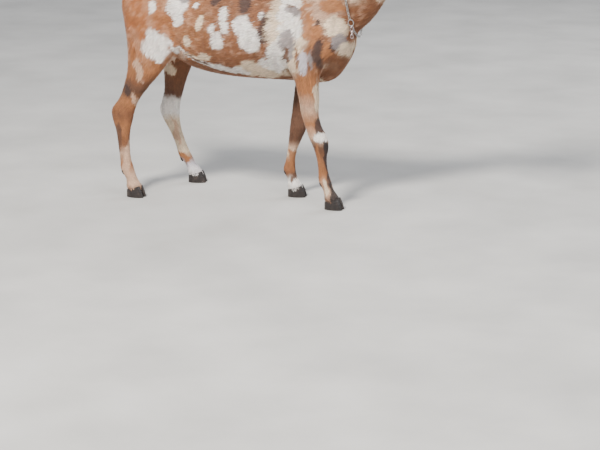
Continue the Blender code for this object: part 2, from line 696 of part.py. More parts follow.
def nostril(head, side):
    """A slanting slit sunk into the side of the nose, its long axis rising towards the outside."""
    tree = BVHTree.FromObject(head, bpy.context.evaluated_depsgraph_get())
    middle = head_point(NOSE_MIDDLE[0], NOSE_MIDDLE[2], 0.0)
    aim = middle + head_point(NOSTRIL_AIM[0], NOSTRIL_AIM[2], side * NOSTRIL_AIM[1]) - POLL
    place, out = on_surface(tree, aim, middle)
    along = (HEAD_V - 0.75 * HEAD_U + side * 0.55 * HEAD_W)
    along = (along - along.dot(out) * out).normalized()
    frame = Matrix((along, out.cross(along), out)).transposed()
    return ball("nostril", place, NOSTRIL_RADII, 12, 8, frame)


def head_with_face():
    """The head and the upper neck at a finer grain, with lids, sockets, nostrils and the mouth's line."""
    eyes = [head_point(EYE_PLACE[0], EYE_PLACE[2], side * EYE_PLACE[1]) for side in (1, -1)]
    lids = [ball("lids", eye, (EYE_RADIUS + LID,) * 3, 32, 20) for eye in eyes]
    upper_neck = ridge("upper_neck", NECK[3:], 30, 40, *NECK_PINCH)
    zones = [SOFT_ZONES[-2], *[(eye, 0.030, 0.0035) for eye in eyes]]
    skin = flesh("head", [head_loft(), upper_neck, *lids], HEAD_VOXEL, zones)
    press(skin, HEAD_BRUSHES, (HEAD_U, HEAD_W, HEAD_V), POLL)
    skin = cut(skin, [region(moved_planes(HEAD_PLANES, -0.004))], "INTERSECT")
    thinned(skin, HEAD_TRIANGLES)
    holes = [[mouth_cut(skin)]]
    for side, eye in zip((1, -1), eyes):
        holes.append([ball("socket", eye, (EYE_RADIUS + GAP,) * 3, 16, 10), lid_opening(side, eye)])
        holes.append([nostril(skin, side)])
    for hole in holes:
        cut(skin, hole, "DIFFERENCE", "MANIFOLD")
    cut(skin, [region(moved_planes(HEAD_PLANES, GAP / 2))], "INTERSECT", "MANIFOLD")
    return skin


def ear(side, rings=20, across=9):
    """A hanging ear: a leaf-shaped shell, rolled at its root, with its hollow turned in and forward."""
    root = np.array(head_point(EAR_ROOT[0], EAR_ROOT[2], EAR_ROOT[1]))
    t = spline([(*p, b, math.radians(c)) for p, b, c in zip(EAR_LINE, EAR_HALF_WIDTH, EAR_CURL)], rings)
    line = root + t[:, :3]
    along = np.gradient(line, axis=0)
    along /= np.linalg.norm(along, axis=1)[:, None]
    outward = directions(rings, (-0.34, 0.92, 0.20))
    outward -= np.sum(outward * along, axis=1)[:, None] * along
    outward /= np.linalg.norm(outward, axis=1)[:, None]
    wide = np.cross(along, outward)
    share = np.linspace(-1, 1, across)
    angle = t[:, 4:5] * share
    radius = (t[:, 3] / t[:, 4])[:, None]
    normal = outward[:, None, :] * np.cos(angle)[..., None] + wide[:, None, :] * np.sin(angle)[..., None]
    middle = line[:, None, :] + (normal - outward[:, None, :]) * radius[..., None]
    depth = np.linspace(1.0, 0.55, rings)[:, None] * (1 - 0.55 * share**2) * EAR_THICKNESS / 2 + 0.0005
    outer = middle + normal * depth[..., None]
    inner = middle - normal * depth[..., None]
    points = np.concatenate([outer.reshape(-1, 3), inner.reshape(-1, 3)])
    points[:, 1] *= side
    number = np.arange(2 * rings * across).reshape(2, rings, across)
    faces = []
    for i in range(rings - 1):
        for j in range(across - 1):
            for sheet in number:
                a, b, c, d = sheet[i, j], sheet[i, j + 1], sheet[i + 1, j + 1], sheet[i + 1, j]
                faces += [(a, b, c), (a, c, d)]
        for j in (0, across - 1):
            faces.append((number[0, i, j], number[0, i + 1, j], number[1, i + 1, j], number[1, i, j]))
    for i in (0, rings - 1):
        for j in range(across - 1):
            faces.append((number[0, i, j], number[0, i, j + 1], number[1, i, j + 1], number[1, i, j]))
    return mesh_object("ear", points, faces)


def swollen(obj, step):
    """A copy of a piece with its surface moved outward."""
    made = copied(obj, "swollen")
    set_points(made, points_of(made) + normals_of(made) * step)
    return made


def claw(hoof, side):
    """One claw of a hoof: flat below, rounded outside and flatter at the cleft, pointed at the toe."""
    x, y, turn = HOOVES[hoof]
    corners = 18
    angle = np.arange(corners) * 2 * math.pi / corners
    ahead, out = np.cos(angle), np.sin(angle)
    points = []
    for height, front, width in CLAW_RINGS:
        reach = HOOF_TOP_FRONT + (HOOF_SOLE_FRONT - HOOF_TOP_FRONT) * front
        along = np.where(ahead > 0, ahead * reach, ahead * HOOF_BACK)
        narrow = 1 - CLAW_POINT * np.clip(ahead, 0, 1) ** 2 * front
        across = CLEFT / 2 + CLAW_WIDTH * width * (0.42 + np.where(out > 0, 0.58, 0.42) * out * narrow)
        level = height * (CORONET_HEIGHT + CORONET_SLOPE * along - GAP / 2)
        points.append(np.stack([along, side * across, level], axis=1))
    points = np.concatenate(points)
    c, s = math.cos(turn), math.sin(turn)
    points[:, :2] = points[:, :2] @ np.array([[c, s], [-s, c]])
    points[:, :2] += (x, y)
    faces = [tuple(range(corners)), tuple(range(3 * corners, 4 * corners))]
    for ring in range(3):
        for i in range(corners):
            k = (i + 1) % corners
            low, high = ring * corners, (ring + 1) * corners
            faces.append((low + i, low + k, high + k, high + i))
    return mesh_object("claw", points, faces)


def coronet_plane(hoof):
    x, y, turn = HOOVES[hoof]
    slope = Vector((-CORONET_SLOPE * math.cos(turn), -CORONET_SLOPE * math.sin(turn), 1.0))
    return (Vector((x, y, CORONET_HEIGHT)), slope)


def dewclaws(name):
    """The two small claws behind the fetlock."""
    table = LEGS[name]
    x, y, z, _, back, half = table[-4]
    lean = Matrix.Rotation(DEWCLAW_LEAN, 3, "Y")
    made = []
    for side in (1, -1):
        centre = (x - back * DEWCLAW_BACK, y + side * half * DEWCLAW_OUT, z - DEWCLAW_DROP)
        made.append(ball("dewclaw", centre, DEWCLAW_RADII, 8, 6, lean))
    return made


def collar_route(tree, turns):
    """Points of the collar and the skin's normals there, at turns round the neck from the nape."""
    places, normals = [], []
    for turn in turns:
        ray = COLLAR_UP * math.cos(turn) + Vector((0, 1, 0)) * math.sin(turn)
        hit, normal, _, _ = tree.ray_cast(COLLAR_MIDDLE + ray * 0.5, -ray)
        hang = COLLAR_HANG * max(0.0, -math.cos(turn)) ** 2
        places.append(hit + normal * (LINK_WIDTH / 2 + COLLAR_OFF + hang))
        normals.append(normal)
    return places, normals


def chain(tree):
    """The links, alternately flat and on edge, run from one side of the ring round the neck to the other."""
    fine = np.linspace(RING_TURN, RING_TURN + 2 * math.pi, 400)
    places, normals = collar_route(tree, fine)
    places, normals = np.array(places), np.array(normals)
    at = np.concatenate([[0.0], np.cumsum(np.linalg.norm(np.diff(places, axis=0), axis=1))])
    start = RING_RADII[1] + RING_WIRE + GAP
    length = at[-1] - 2 * start
    links = round(length / LINK_LENGTH)
    steps = start + length * np.arange(2 * links + 1) / (2 * links)
    path = np.stack([np.interp(steps, at, places[:, i]) for i in range(3)], axis=1)
    out = np.stack([np.interp(steps, at, normals[:, i]) for i in range(3)], axis=1)
    along = np.gradient(path, axis=0)
    along /= np.linalg.norm(along, axis=1)[:, None]
    out -= np.sum(out * along, axis=1)[:, None] * along
    out /= np.linalg.norm(out, axis=1)[:, None]
    number = np.arange(len(steps))
    middle = number % 2 == 1
    flat = number % 4 == 1
    small, large = LINK_THICKNESS / 2, LINK_WIDTH / 2
    rise = np.where(middle, np.where(flat, small, large), LINK_WAIST)
    half = np.where(middle, np.where(flat, large, small), LINK_WAIST)
    none = np.zeros(len(steps))
    shape = loft(path, out, np.cross(along, out), rise, rise, half, none + 2.4, none, none, 8)
    return mesh_object("chain", *shape)


def ring_and_snap(tree):
    """The oval ring lies on the neck's right side, where the chain's ends meet, and carries the snap."""
    turns = (RING_TURN, RING_TURN + 0.05, RING_TURN - 0.05)
    (place, ahead, behind), (normal, _, _) = collar_route(tree, turns)
    down = (behind - ahead).normalized()
    if down.z > 0:
        down = -down
    place = place + normal * 0.0005
    normal = (normal - normal.dot(down) * down).normalized()
    across = down.cross(normal)
    turns = np.linspace(0, 2 * math.pi, 24, endpoint=False)
    path = [place + across * math.cos(t) * RING_RADII[0] + down * math.sin(t) * RING_RADII[1] for t in turns]
    points, faces = [], []
    corners = 8
    for i, t in enumerate(turns):
        out = (path[i] - place).normalized()
        for j in range(corners):
            a = 2 * math.pi * j / corners
            points.append(path[i] + RING_WIRE * (out * math.cos(a) + normal * math.sin(a)))
            k, m = (i + 1) % len(turns), (j + 1) % corners
            faces.append((i * corners + j, i * corners + m, k * corners + m, k * corners + j))
    ring = mesh_object("ring", points, faces)
    top = place + down * RING_RADII[1] + SNAP_LINE * (RING_WIRE + 2 * GAP) + normal * 0.0030
    route = np.array([top + SNAP_LINE * depth for depth, _ in SNAP])
    rise = np.array([r for _, r in SNAP])
    none = np.zeros(len(SNAP))
    ups, sides = directions(len(SNAP), normal), directions(len(SNAP), SNAP_LINE.cross(normal).normalized())
    shape = loft(route, ups, sides, rise, rise, rise * SNAP_WIDTH, none + 2.2, none, none, 10)
    return ring, mesh_object("snap", *shape)


def mirrored(planes):
    return [((p[0], -p[1], p[2]), (n[0], -n[1], n[2])) for p, n in planes]


# Where the body is parted: planes (point, normal) whose inner side is the limb
HEAD_PLANES = [(head_point(-0.010, -0.0935, 0.0), HEAD_V + 0.66 * HEAD_U)]
NECK_PLANES = [((0.330, 0.0, 0.666), (0.817, 0.0, 0.577))]
TAIL_PLANES = [((-0.402, 0.0, 0.742), (-0.86, 0.0, 0.51)), ((0.0, 0.0, 0.715), (0.0, 0.0, 1.0))]
MIDDLE_PLANE = ((0.0, 0.004, 0.0), (0.0, 1.0, 0.0))
FORELEG_TOP = ((0.25, 0.032, 0.408), (0.0, 0.75, -0.66))
THIGH_TOP = ((-0.230, 0.026, 0.466), (-0.22, 0.60, -0.70))
LEG_PLANES = {
    "foreleg_right": [FORELEG_TOP, MIDDLE_PLANE, ((0.196, 0.0, 0.470), (1.0, 0.0, -0.20))],
    "foreleg_left": [FORELEG_TOP, MIDDLE_PLANE, ((0.166, 0.0, 0.470), (1.0, 0.0, -0.35))],
    "hind_leg_right": [THIGH_TOP, MIDDLE_PLANE, ((-0.186, 0.0, 0.480), (-1.0, 0.0, -0.25))],
    "hind_leg_left": [THIGH_TOP, MIDDLE_PLANE, ((-0.180, 0.0, 0.480), (-1.0, 0.0, -0.25))],
}

clear_scene()
goat = bpy.data.collections.new("nubian_goat")
bpy.context.scene.collection.children.link(goat)
limbs = [leg(name, table) for name, table in LEGS.items()]
whole_neck = ridge("whole_neck", NECK, 40, 40, *NECK_PINCH)
tail = ridge("tail_loft", TAIL, 24, 20, *TAIL_PINCH)
body = flesh("torso", [trunk(), whole_neck, tail, head_loft(), *udder(), *limbs], BODY_VOXEL, SOFT_ZONES)
press(body, BODY_BRUSHES)
thinned(body, BODY_TRIANGLES)

bpy.data.objects.remove(parted(body, "rough_head", HEAD_PLANES), do_unlink=True)
as_node(parted(body, "neck", NECK_PLANES), "neck", "coat")
as_node(parted(body, "tail", TAIL_PLANES), "tail", "coat")
for name in LEGS:
    planes = LEG_PLANES[name]
    limb = parted(body, name, planes if name.endswith("left") else mirrored(planes))
    point, normal = coronet_plane(name)
    cut(limb, [region([(point + normal.normalized() * GAP / 2, normal)])], "INTERSECT")
    cut(limb, dewclaws(name), "UNION", "MANIFOLD")
    as_node(limb, name, "coat")
    for side, label in ((1, "left"), (-1, "right")):
        as_node(claw(name, side), f"hoof_{name}_{label}_claw", "horn")
as_node(body, "torso", "coat")

head = as_node(head_with_face(), "head", "coat")
for side, label in ((1, "left"), (-1, "right")):
    eye = head_point(EYE_PLACE[0], EYE_PLACE[2], side * EYE_PLACE[1])
    as_node(ball("eye", eye, (EYE_RADIUS,) * 3, 16, 10), f"eye_{label}", "eye")
    shell = cut(ear(side), [swollen(head, GAP * 1.2)], "DIFFERENCE")
    as_node(shell, f"ear_{label}", "coat")

neck_tree = BVHTree.FromObject(bpy.data.objects["neck"], bpy.context.evaluated_depsgraph_get())
as_node(chain(neck_tree), "collar_chain", "steel")
ring, snap = ring_and_snap(neck_tree)
as_node(ring, "collar_ring", "steel")
as_node(snap, "collar_snap", "steel")

# The middle of the whole goat's box is set over the origin
box = np.concatenate([points_of(obj) for obj in goat.objects])
middle = (box.min(axis=0) + box.max(axis=0)) / 2
for obj in goat.objects:
    set_points(obj, points_of(obj) - (middle[0], middle[1], 0.0))
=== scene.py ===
import math

import bmesh
import bpy
import numpy as np
from mathutils import Matrix, Vector
from mathutils.bvhtree import BVHTree


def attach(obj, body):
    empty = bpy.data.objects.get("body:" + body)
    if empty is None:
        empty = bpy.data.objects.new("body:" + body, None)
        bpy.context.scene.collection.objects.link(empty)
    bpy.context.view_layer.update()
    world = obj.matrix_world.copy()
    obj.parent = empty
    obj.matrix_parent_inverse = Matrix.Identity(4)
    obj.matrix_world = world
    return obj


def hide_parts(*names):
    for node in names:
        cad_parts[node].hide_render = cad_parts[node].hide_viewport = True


# The shown goat: one skin over the whole body, a coat of small flat tufts that follow the lie of the hair,
# eyes, hooves and the chain collar. The tables are those of the solids; SHIFT takes them to the shared frame.

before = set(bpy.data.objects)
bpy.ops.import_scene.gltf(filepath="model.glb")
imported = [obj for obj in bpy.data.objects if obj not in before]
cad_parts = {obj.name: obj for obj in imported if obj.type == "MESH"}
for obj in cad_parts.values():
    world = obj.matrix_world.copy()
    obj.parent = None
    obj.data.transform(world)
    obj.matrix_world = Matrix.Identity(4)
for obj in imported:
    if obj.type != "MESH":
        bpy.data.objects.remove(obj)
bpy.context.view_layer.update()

# Gap between neighbouring solids
GAP = 0.0003
SHIFT = np.array((-0.17378, -0.0090, 0.0))
WITHERS_HEIGHT = 0.775
CHEST_FLOOR = 0.413
# Size of the voxels from which the body, the head and then the whole skin are made
BODY_VOXEL = 0.0050
HEAD_VOXEL = 0.0022
SKIN_VOXEL = 0.0030
SKIN_TRIANGLES = 135000
random = np.random.default_rng(7)

# Sections of the trunk from rump to chest:
# x, top, bottom, half width, level of the widest part, squareness, pinch above, pinch below
TRUNK = [
    (-0.412, 0.690, 0.610, 0.030, 0.50, 2.0, 0.00, 0.00),
    (-0.390, 0.724, 0.560, 0.062, 0.55, 2.2, 0.10, 0.10),
    (-0.340, 0.754, 0.515, 0.086, 0.60, 2.3, 0.18, 0.15),
    (-0.250, 0.775, 0.482, 0.102, 0.62, 2.4, 0.22, 0.15),
    (-0.170, 0.772, 0.443, 0.116, 0.50, 2.3, 0.25, 0.10),
    (-0.070, 0.764, 0.422, 0.136, 0.43, 2.2, 0.25, 0.06),
    (0.030, 0.758, 0.415, 0.140, 0.42, 2.2, 0.28, 0.06),
    (0.120, 0.765, CHEST_FLOOR, 0.124, 0.42, 2.1, 0.36, 0.10),
    (0.200, WITHERS_HEIGHT, CHEST_FLOOR, 0.106, 0.42, 2.1, 0.45, 0.18),
    (0.280, 0.760, 0.414, 0.096, 0.42, 2.1, 0.42, 0.22),
    (0.340, 0.710, 0.432, 0.082, 0.45, 2.0, 0.20, 0.22),
    (0.385, 0.650, 0.488, 0.056, 0.48, 2.0, 0.05, 0.15),
    (0.405, 0.600, 0.530, 0.026, 0.50, 2.0, 0.00, 0.00),
]

# Sections of the neck from the chest to the poll: x, z, depth above, depth below, half width
NECK = [
    (0.225, 0.640, 0.120, 0.150, 0.082),
    (0.300, 0.676, 0.110, 0.143, 0.078),
    (0.370, 0.737, 0.096, 0.142, 0.066),
    (0.435, 0.806, 0.082, 0.118, 0.056),
    (0.494, 0.880, 0.071, 0.092, 0.050),
    (0.542, 0.950, 0.058, 0.070, 0.047),
    (0.574, 0.998, 0.043, 0.058, 0.044),
    (0.604, 1.022, 0.022, 0.045, 0.036),
]

# How much narrower the neck and the tail are above and below than an oval
NECK_PINCH = (0.35, 0.20)
TAIL_PINCH = (0.1, 0.1)

# Sections of the tail, which is held up: x, z, depth behind, depth in front, half width
TAIL = [
    (-0.340, 0.714, 0.022, 0.026, 0.032),
    (-0.392, 0.738, 0.020, 0.024, 0.034),
    (-0.428, 0.762, 0.018, 0.023, 0.037),
    (-0.456, 0.794, 0.016, 0.020, 0.037),
    (-0.470, 0.830, 0.013, 0.017, 0.031),
    (-0.472, 0.864, 0.006, 0.009, 0.012),
]

# Sections of each leg from the trunk down: x, y, z, reach forward, reach back, half width.
# The right side is negative y. The right foreleg and the left hind leg are the ones set forward.
FORELEG_RIGHT = [
    (0.262, -0.058, 0.640, 0.050, 0.050, 0.024),
    (0.275, -0.070, 0.580, 0.062, 0.070, 0.034),
    (0.272, -0.079, 0.520, 0.064, 0.078, 0.038),
    (0.265, -0.085, 0.470, 0.050, 0.064, 0.036),
    (0.268, -0.086, 0.420, 0.040, 0.045, 0.030),
    (0.273, -0.085, 0.365, 0.034, 0.037, 0.026),
    (0.277, -0.083, 0.310, 0.028, 0.031, 0.022),
    (0.287, -0.082, 0.272, 0.030, 0.028, 0.022),
    (0.299, -0.081, 0.240, 0.036, 0.029, 0.025),
    (0.308, -0.080, 0.208, 0.029, 0.023, 0.022),
    (0.314, -0.079, 0.170, 0.017, 0.018, 0.0155),
    (0.320, -0.079, 0.125, 0.016, 0.018, 0.0150),
    (0.326, -0.078, 0.090, 0.021, 0.022, 0.0200),
    (0.337, -0.078, 0.064, 0.019, 0.018, 0.0180),
    (0.348, -0.078, 0.040, 0.024, 0.024, 0.0235),
    (0.352, -0.078, 0.020, 0.022, 0.022, 0.0220),
]
FORELEG_LEFT = [
    (0.262, 0.058, 0.640, 0.050, 0.050, 0.024),
    (0.268, 0.070, 0.580, 0.062, 0.070, 0.034),
    (0.255, 0.079, 0.520, 0.064, 0.074, 0.038),
    (0.232, 0.082, 0.470, 0.054, 0.060, 0.036),
    (0.216, 0.079, 0.420, 0.042, 0.044, 0.030),
    (0.205, 0.074, 0.365, 0.035, 0.036, 0.026),
    (0.195, 0.069, 0.310, 0.029, 0.031, 0.022),
    (0.188, 0.066, 0.272, 0.028, 0.028, 0.022),
    (0.184, 0.063, 0.236, 0.030, 0.028, 0.025),
    (0.177, 0.061, 0.204, 0.024, 0.023, 0.022),
    (0.168, 0.058, 0.166, 0.017, 0.018, 0.0155),
    (0.161, 0.056, 0.122, 0.016, 0.018, 0.0150),
    (0.158, 0.054, 0.088, 0.021, 0.022, 0.0200),
    (0.168, 0.052, 0.063, 0.019, 0.018, 0.0180),
    (0.178, 0.050, 0.040, 0.024, 0.024, 0.0235),
    (0.182, 0.050, 0.020, 0.022, 0.022, 0.0220),
]
HIND_RIGHT = [
    (-0.300, -0.048, 0.715, 0.060, 0.075, 0.030),
    (-0.305, -0.060, 0.660, 0.080, 0.094, 0.045),
    (-0.302, -0.068, 0.600, 0.092, 0.086, 0.050),
    (-0.298, -0.076, 0.540, 0.098, 0.078, 0.048),
    (-0.300, -0.084, 0.480, 0.086, 0.071, 0.042),
    (-0.314, -0.092, 0.425, 0.064, 0.058, 0.034),
    (-0.340, -0.099, 0.375, 0.046, 0.043, 0.027),
    (-0.364, -0.104, 0.332, 0.038, 0.036, 0.023),
    (-0.380, -0.107, 0.298, 0.040, 0.045, 0.0235),
    (-0.385, -0.109, 0.266, 0.037, 0.037, 0.0230),
    (-0.383, -0.111, 0.230, 0.026, 0.027, 0.0190),
    (-0.379, -0.114, 0.175, 0.019, 0.022, 0.0165),
    (-0.373, -0.117, 0.125, 0.019, 0.021, 0.0165),
    (-0.366, -0.119, 0.090, 0.023, 0.024, 0.0205),
    (-0.353, -0.121, 0.064, 0.020, 0.019, 0.0185),
    (-0.344, -0.122, 0.040, 0.025, 0.025, 0.0235),
    (-0.340, -0.122, 0.020, 0.022, 0.022, 0.0220),
]
HIND_LEFT = [
    (-0.300, 0.048, 0.715, 0.060, 0.075, 0.030),
    (-0.303, 0.060, 0.660, 0.080, 0.092, 0.045),
    (-0.294, 0.070, 0.600, 0.092, 0.086, 0.050),
    (-0.280, 0.079, 0.540, 0.096, 0.082, 0.048),
    (-0.270, 0.088, 0.480, 0.078, 0.076, 0.042),
    (-0.266, 0.098, 0.425, 0.056, 0.056, 0.034),
    (-0.274, 0.107, 0.375, 0.040, 0.044, 0.028),
    (-0.286, 0.113, 0.325, 0.034, 0.036, 0.0235),
    (-0.298, 0.117, 0.285, 0.034, 0.036, 0.0230),
    (-0.304, 0.119, 0.258, 0.036, 0.038, 0.0235),
    (-0.300, 0.122, 0.228, 0.030, 0.032, 0.0220),
    (-0.284, 0.126, 0.180, 0.021, 0.023, 0.0175),
    (-0.267, 0.131, 0.130, 0.020, 0.021, 0.0165),
    (-0.252, 0.135, 0.088, 0.023, 0.024, 0.0205),
    (-0.235, 0.138, 0.062, 0.020, 0.019, 0.0185),
    (-0.222, 0.140, 0.040, 0.025, 0.025, 0.0235),
    (-0.216, 0.140, 0.020, 0.022, 0.022, 0.0220),
]
LEGS = {
    "foreleg_right": FORELEG_RIGHT,
    "foreleg_left": FORELEG_LEFT,
    "hind_leg_right": HIND_RIGHT,
    "hind_leg_left": HIND_LEFT,
}

# The head has its own frame: u runs from the poll to the nose, v stands square to the face, w is left
POLL = Vector((0.6285, 0.0, 1.041))
FACE_SLOPE = math.radians(38)
HEAD_U = Vector((math.cos(FACE_SLOPE), 0.0, -math.sin(FACE_SLOPE)))
HEAD_V = Vector((math.sin(FACE_SLOPE), 0.0, math.cos(FACE_SLOPE)))
HEAD_W = Vector((0.0, 1.0, 0.0))

# Sections of the head: u, top, bottom, half width, level of the widest part, squareness, pinch above, below
HEAD = [
    (-0.030, -0.022, -0.085, 0.028, 0.50, 2.0, 0.00, 0.00),
    (-0.010, -0.004, -0.108, 0.044, 0.55, 2.1, 0.10, 0.10),
    (0.025, 0.007, -0.128, 0.055, 0.60, 2.3, 0.14, 0.22),
    (0.060, 0.017, -0.131, 0.059, 0.68, 2.4, 0.15, 0.34),
    (0.095, 0.022, -0.124, 0.057, 0.70, 2.4, 0.18, 0.42),
    (0.125, 0.025, -0.109, 0.048, 0.66, 2.3, 0.28, 0.40),
    (0.155, 0.0255, -0.092, 0.040, 0.58, 2.2, 0.32, 0.32),
    (0.185, 0.0235, -0.080, 0.035, 0.52, 2.2, 0.30, 0.24),
    (0.212, 0.0180, -0.074, 0.0320, 0.50, 2.3, 0.22, 0.20),
    (0.235, 0.0110, -0.0735, 0.0325, 0.48, 2.5, 0.14, 0.15),
    (0.253, 0.0020, -0.0740, 0.0315, 0.48, 2.6, 0.08, 0.12),
    (0.264, -0.0080, -0.0700, 0.0250, 0.48, 2.6, 0.04, 0.06),
    (0.270, -0.0240, -0.0580, 0.0120, 0.50, 2.3, 0.00, 0.00),
]


def spline(rows, count):
    """The rows of a table, resampled by a Catmull-Rom curve through them at even steps along it."""
    rows = np.asarray(rows, float)
    steps = np.linalg.norm(np.diff(rows[:, :3], axis=0), axis=1)
    at = np.concatenate([[0.0], np.cumsum(steps)])
    slopes = np.gradient(rows, at, axis=0)
    wanted = np.linspace(0.0, at[-1], count)
    low = np.clip(np.searchsorted(at, wanted, side="right") - 1, 0, len(at) - 2)
    width = (at[low + 1] - at[low])[:, None]
    t = (wanted - at[low])[:, None] / width
    return (
        (2 * t**3 - 3 * t**2 + 1) * rows[low]
        + (t**3 - 2 * t**2 + t) * width * slopes[low]
        + (3 * t**2 - 2 * t**3) * rows[low + 1]
        + (t**3 - t**2) * width * slopes[low + 1]
    )


def bands(rings, corners, first=0, closed=False):
    """Faces between neighbouring rings of points, and from the last ring to the first if closed."""
    faces = []
    for i in range(rings if closed else rings - 1):
        low, high = first + i * corners, first + (i + 1) % rings * corners
        for j in range(corners):
            k = (j + 1) % corners
            faces.append((low + j, low + k, high + k, high + j))
    return faces


def loft(centres, ups, sides, rise, drop, half, square, pinch_up, pinch_down, corners):
    """Points and faces of a closed tube of oval sections, each with its own height, width and squareness."""
    rings = len(centres)
    rise, drop, half, square, pinch_up, pinch_down = (
        np.broadcast_to(value, rings)[:, None] for value in (rise, drop, half, square, pinch_up, pinch_down))
    turn = np.arange(corners) * 2 * math.pi / corners
    power = 2.0 / square
    up = np.sign(np.cos(turn)) * np.abs(np.cos(turn)) ** power
    side = np.sign(np.sin(turn)) * np.abs(np.sin(turn)) ** power
    height = np.where(up > 0, up * rise, up * drop)
    above = pinch_up * np.clip(up, 0, 1) ** 1.5
    below = pinch_down * np.clip(-up, 0, 1) ** 1.5
    width = side * half * (1 - above - below)
    points = centres[:, None] + height[:, :, None] * ups[:, None] + width[:, :, None] * sides[:, None]
    points = np.concatenate([points.reshape(-1, 3), centres[:1], centres[-1:]])
    faces = bands(rings, corners)
    first, last = rings * corners, rings * corners + 1
    for j in range(corners):
        k = (j + 1) % corners
        faces.append((first, k, j))
        faces.append((last, (rings - 1) * corners + j, (rings - 1) * corners + k))
    return points, faces


def shown(name, data):
    """A new object in the scene for a mesh, lamp or camera."""
    obj = bpy.data.objects.new(name, data)
    bpy.context.scene.collection.objects.link(obj)
    return obj


def taken(name, made):
    """A new object in the scene from a bmesh, which is freed."""
    mesh = bpy.data.meshes.new(name)
    made.to_mesh(mesh)
    made.free()
    return shown(name, mesh)


def mesh_object(name, points, faces):
    mesh = bpy.data.meshes.new(name)
    mesh.from_pydata([tuple(p) for p in points], [], faces)
    made = bmesh.new()
    made.from_mesh(mesh)
    bmesh.ops.recalc_face_normals(made, faces=made.faces)
    made.to_mesh(mesh)
    made.free()
    return shown(name, mesh)


def directions(count, vector):
    return np.tile(np.asarray(vector, float), (count, 1))


def unit(rows):
    return rows / np.linalg.norm(rows, axis=1)[:, None]


def between(at, table):
    """The further columns of a table, read at values of its first one."""
    rows = np.array(sorted(table))
    return [np.interp(at, rows[:, 0], column) for column in rows.T[1:]]


def mirrored(place):
    """The sides on which something given for the left is made: once only where it sits in the middle."""
    return (1,) if place[1] == 0 else (1, -1)


def tree_of(obj):
    return BVHTree.FromObject(obj, bpy.context.evaluated_depsgraph_get())


def levelled(table, rings, ahead, up):
    """Arguments of loft() for sections given by top, bottom and the level of the widest part."""
    t = spline(np.asarray(table), rings)
    centre = t[:, 2] + t[:, 4] * (t[:, 1] - t[:, 2])
    centres = t[:, :1] * np.asarray(ahead) + centre[:, None] * np.asarray(up)
    return (centres, directions(rings, up), directions(rings, (0, 1, 0)), t[:, 1] - centre, centre - t[:, 2],
            t[:, 3], t[:, 5], t[:, 6], t[:, 7])


def trunk(rings=60, corners=48):
    return mesh_object("trunk", *loft(*levelled(TRUNK, rings, (1, 0, 0), (0, 0, 1)), corners))


def ridge(name, table, rings, corners, pinch_up, pinch_down):
    """A tube along a path in the plane of symmetry, such as the neck or the tail."""
    t = spline([(x, 0.0, z, rise, drop, half) for x, z, rise, drop, half in table], rings)
    along = unit(np.gradient(t[:, :3], axis=0))
    ups = np.stack([-along[:, 2], np.zeros(rings), along[:, 0]], axis=1)
    sides = directions(rings, (0, 1, 0))
    return mesh_object(name, *loft(t[:, :3], ups, sides, *t.T[3:], 2.1, pinch_up, pinch_down, corners))


def head_point(u, v, w):
    return POLL + u * HEAD_U + v * HEAD_V + w * HEAD_W


def head_place(place, side=1):
    """A place given as along the head, left of it and square to the face, or its mirror image."""
    return head_point(place[0], place[2], side * place[1])


def in_head(points):
    """Points in the head's own frame: along, left, square to the face."""
    return (points - np.asarray(POLL)) @ np.array((HEAD_U, HEAD_W, HEAD_V)).T


def head_loft(rings=64, corners=48):
    centres, ups, sides, *rest = levelled(HEAD, rings, HEAD_U, HEAD_V)
    return mesh_object("head_loft", *loft(centres + np.asarray(POLL), ups, sides, *rest, corners))


def leg(name, table, rings=70, corners=28):
    t = spline(table, rings)
    ups, sides = directions(rings, (1, 0, 0)), directions(rings, (0, 1, 0))
    return mesh_object(name, *loft(t[:, :3], ups, sides, *t.T[3:], 2.1, 0, 0, corners))


def joined(name, objects):
    """One mesh object with the shapes of several, which are removed."""
    made = bmesh.new()
    for obj in objects:
        made.from_mesh(obj.data)
        bpy.data.objects.remove(obj, do_unlink=True)
    return taken(name, made)


def apply_modifiers(obj):
    bpy.context.view_layer.update()
    graph = bpy.context.evaluated_depsgraph_get()
    obj.data = bpy.data.meshes.new_from_object(obj.evaluated_get(graph))
    obj.modifiers.clear()
    return obj


def one_skin(obj, voxel):
    remesh = obj.modifiers.new("one skin", "REMESH")
    remesh.mode = "VOXEL"
    remesh.voxel_size = voxel
    return apply_modifiers(obj)


def points_of(obj):
    points = np.empty(len(obj.data.vertices) * 3)
    obj.data.vertices.foreach_get("co", points)
    return points.reshape(-1, 3)


def normals_of(obj):
    normals = np.empty(len(obj.data.vertices) * 3)
    obj.data.vertex_normals.foreach_get("vector", normals)
    return normals.reshape(-1, 3)


def set_points(obj, points):
    obj.data.vertices.foreach_set("co", points.ravel())
    obj.data.update()


def relax(obj, zones, voxel):
    """Softens the skin inside each zone (centre, radius, reach): reach is the length that is evened out."""
    points = points_of(obj)
    ends = np.empty(len(obj.data.edges) * 2, int)
    obj.data.edges.foreach_get("vertices", ends)
    a, b = ends.reshape(-1, 2).T
    count = np.bincount(a, minlength=len(points)) + np.bincount(b, minlength=len(points))
    for centre, radius, reach in zones:
        away = np.linalg.norm((points - np.asarray(centre)), axis=1) / radius
        share = np.clip(1.5 * (1 - away), 0, 1)[:, None] * 0.6
        for _ in range(max(1, round((reach / voxel) ** 2))):
            mean = np.stack(
                [np.bincount(a, points[b, i], len(points)) + np.bincount(b, points[a, i], len(points))
                 for i in range(3)], axis=1) / count[:, None]
            points += share * (mean - points)
    set_points(obj, points)


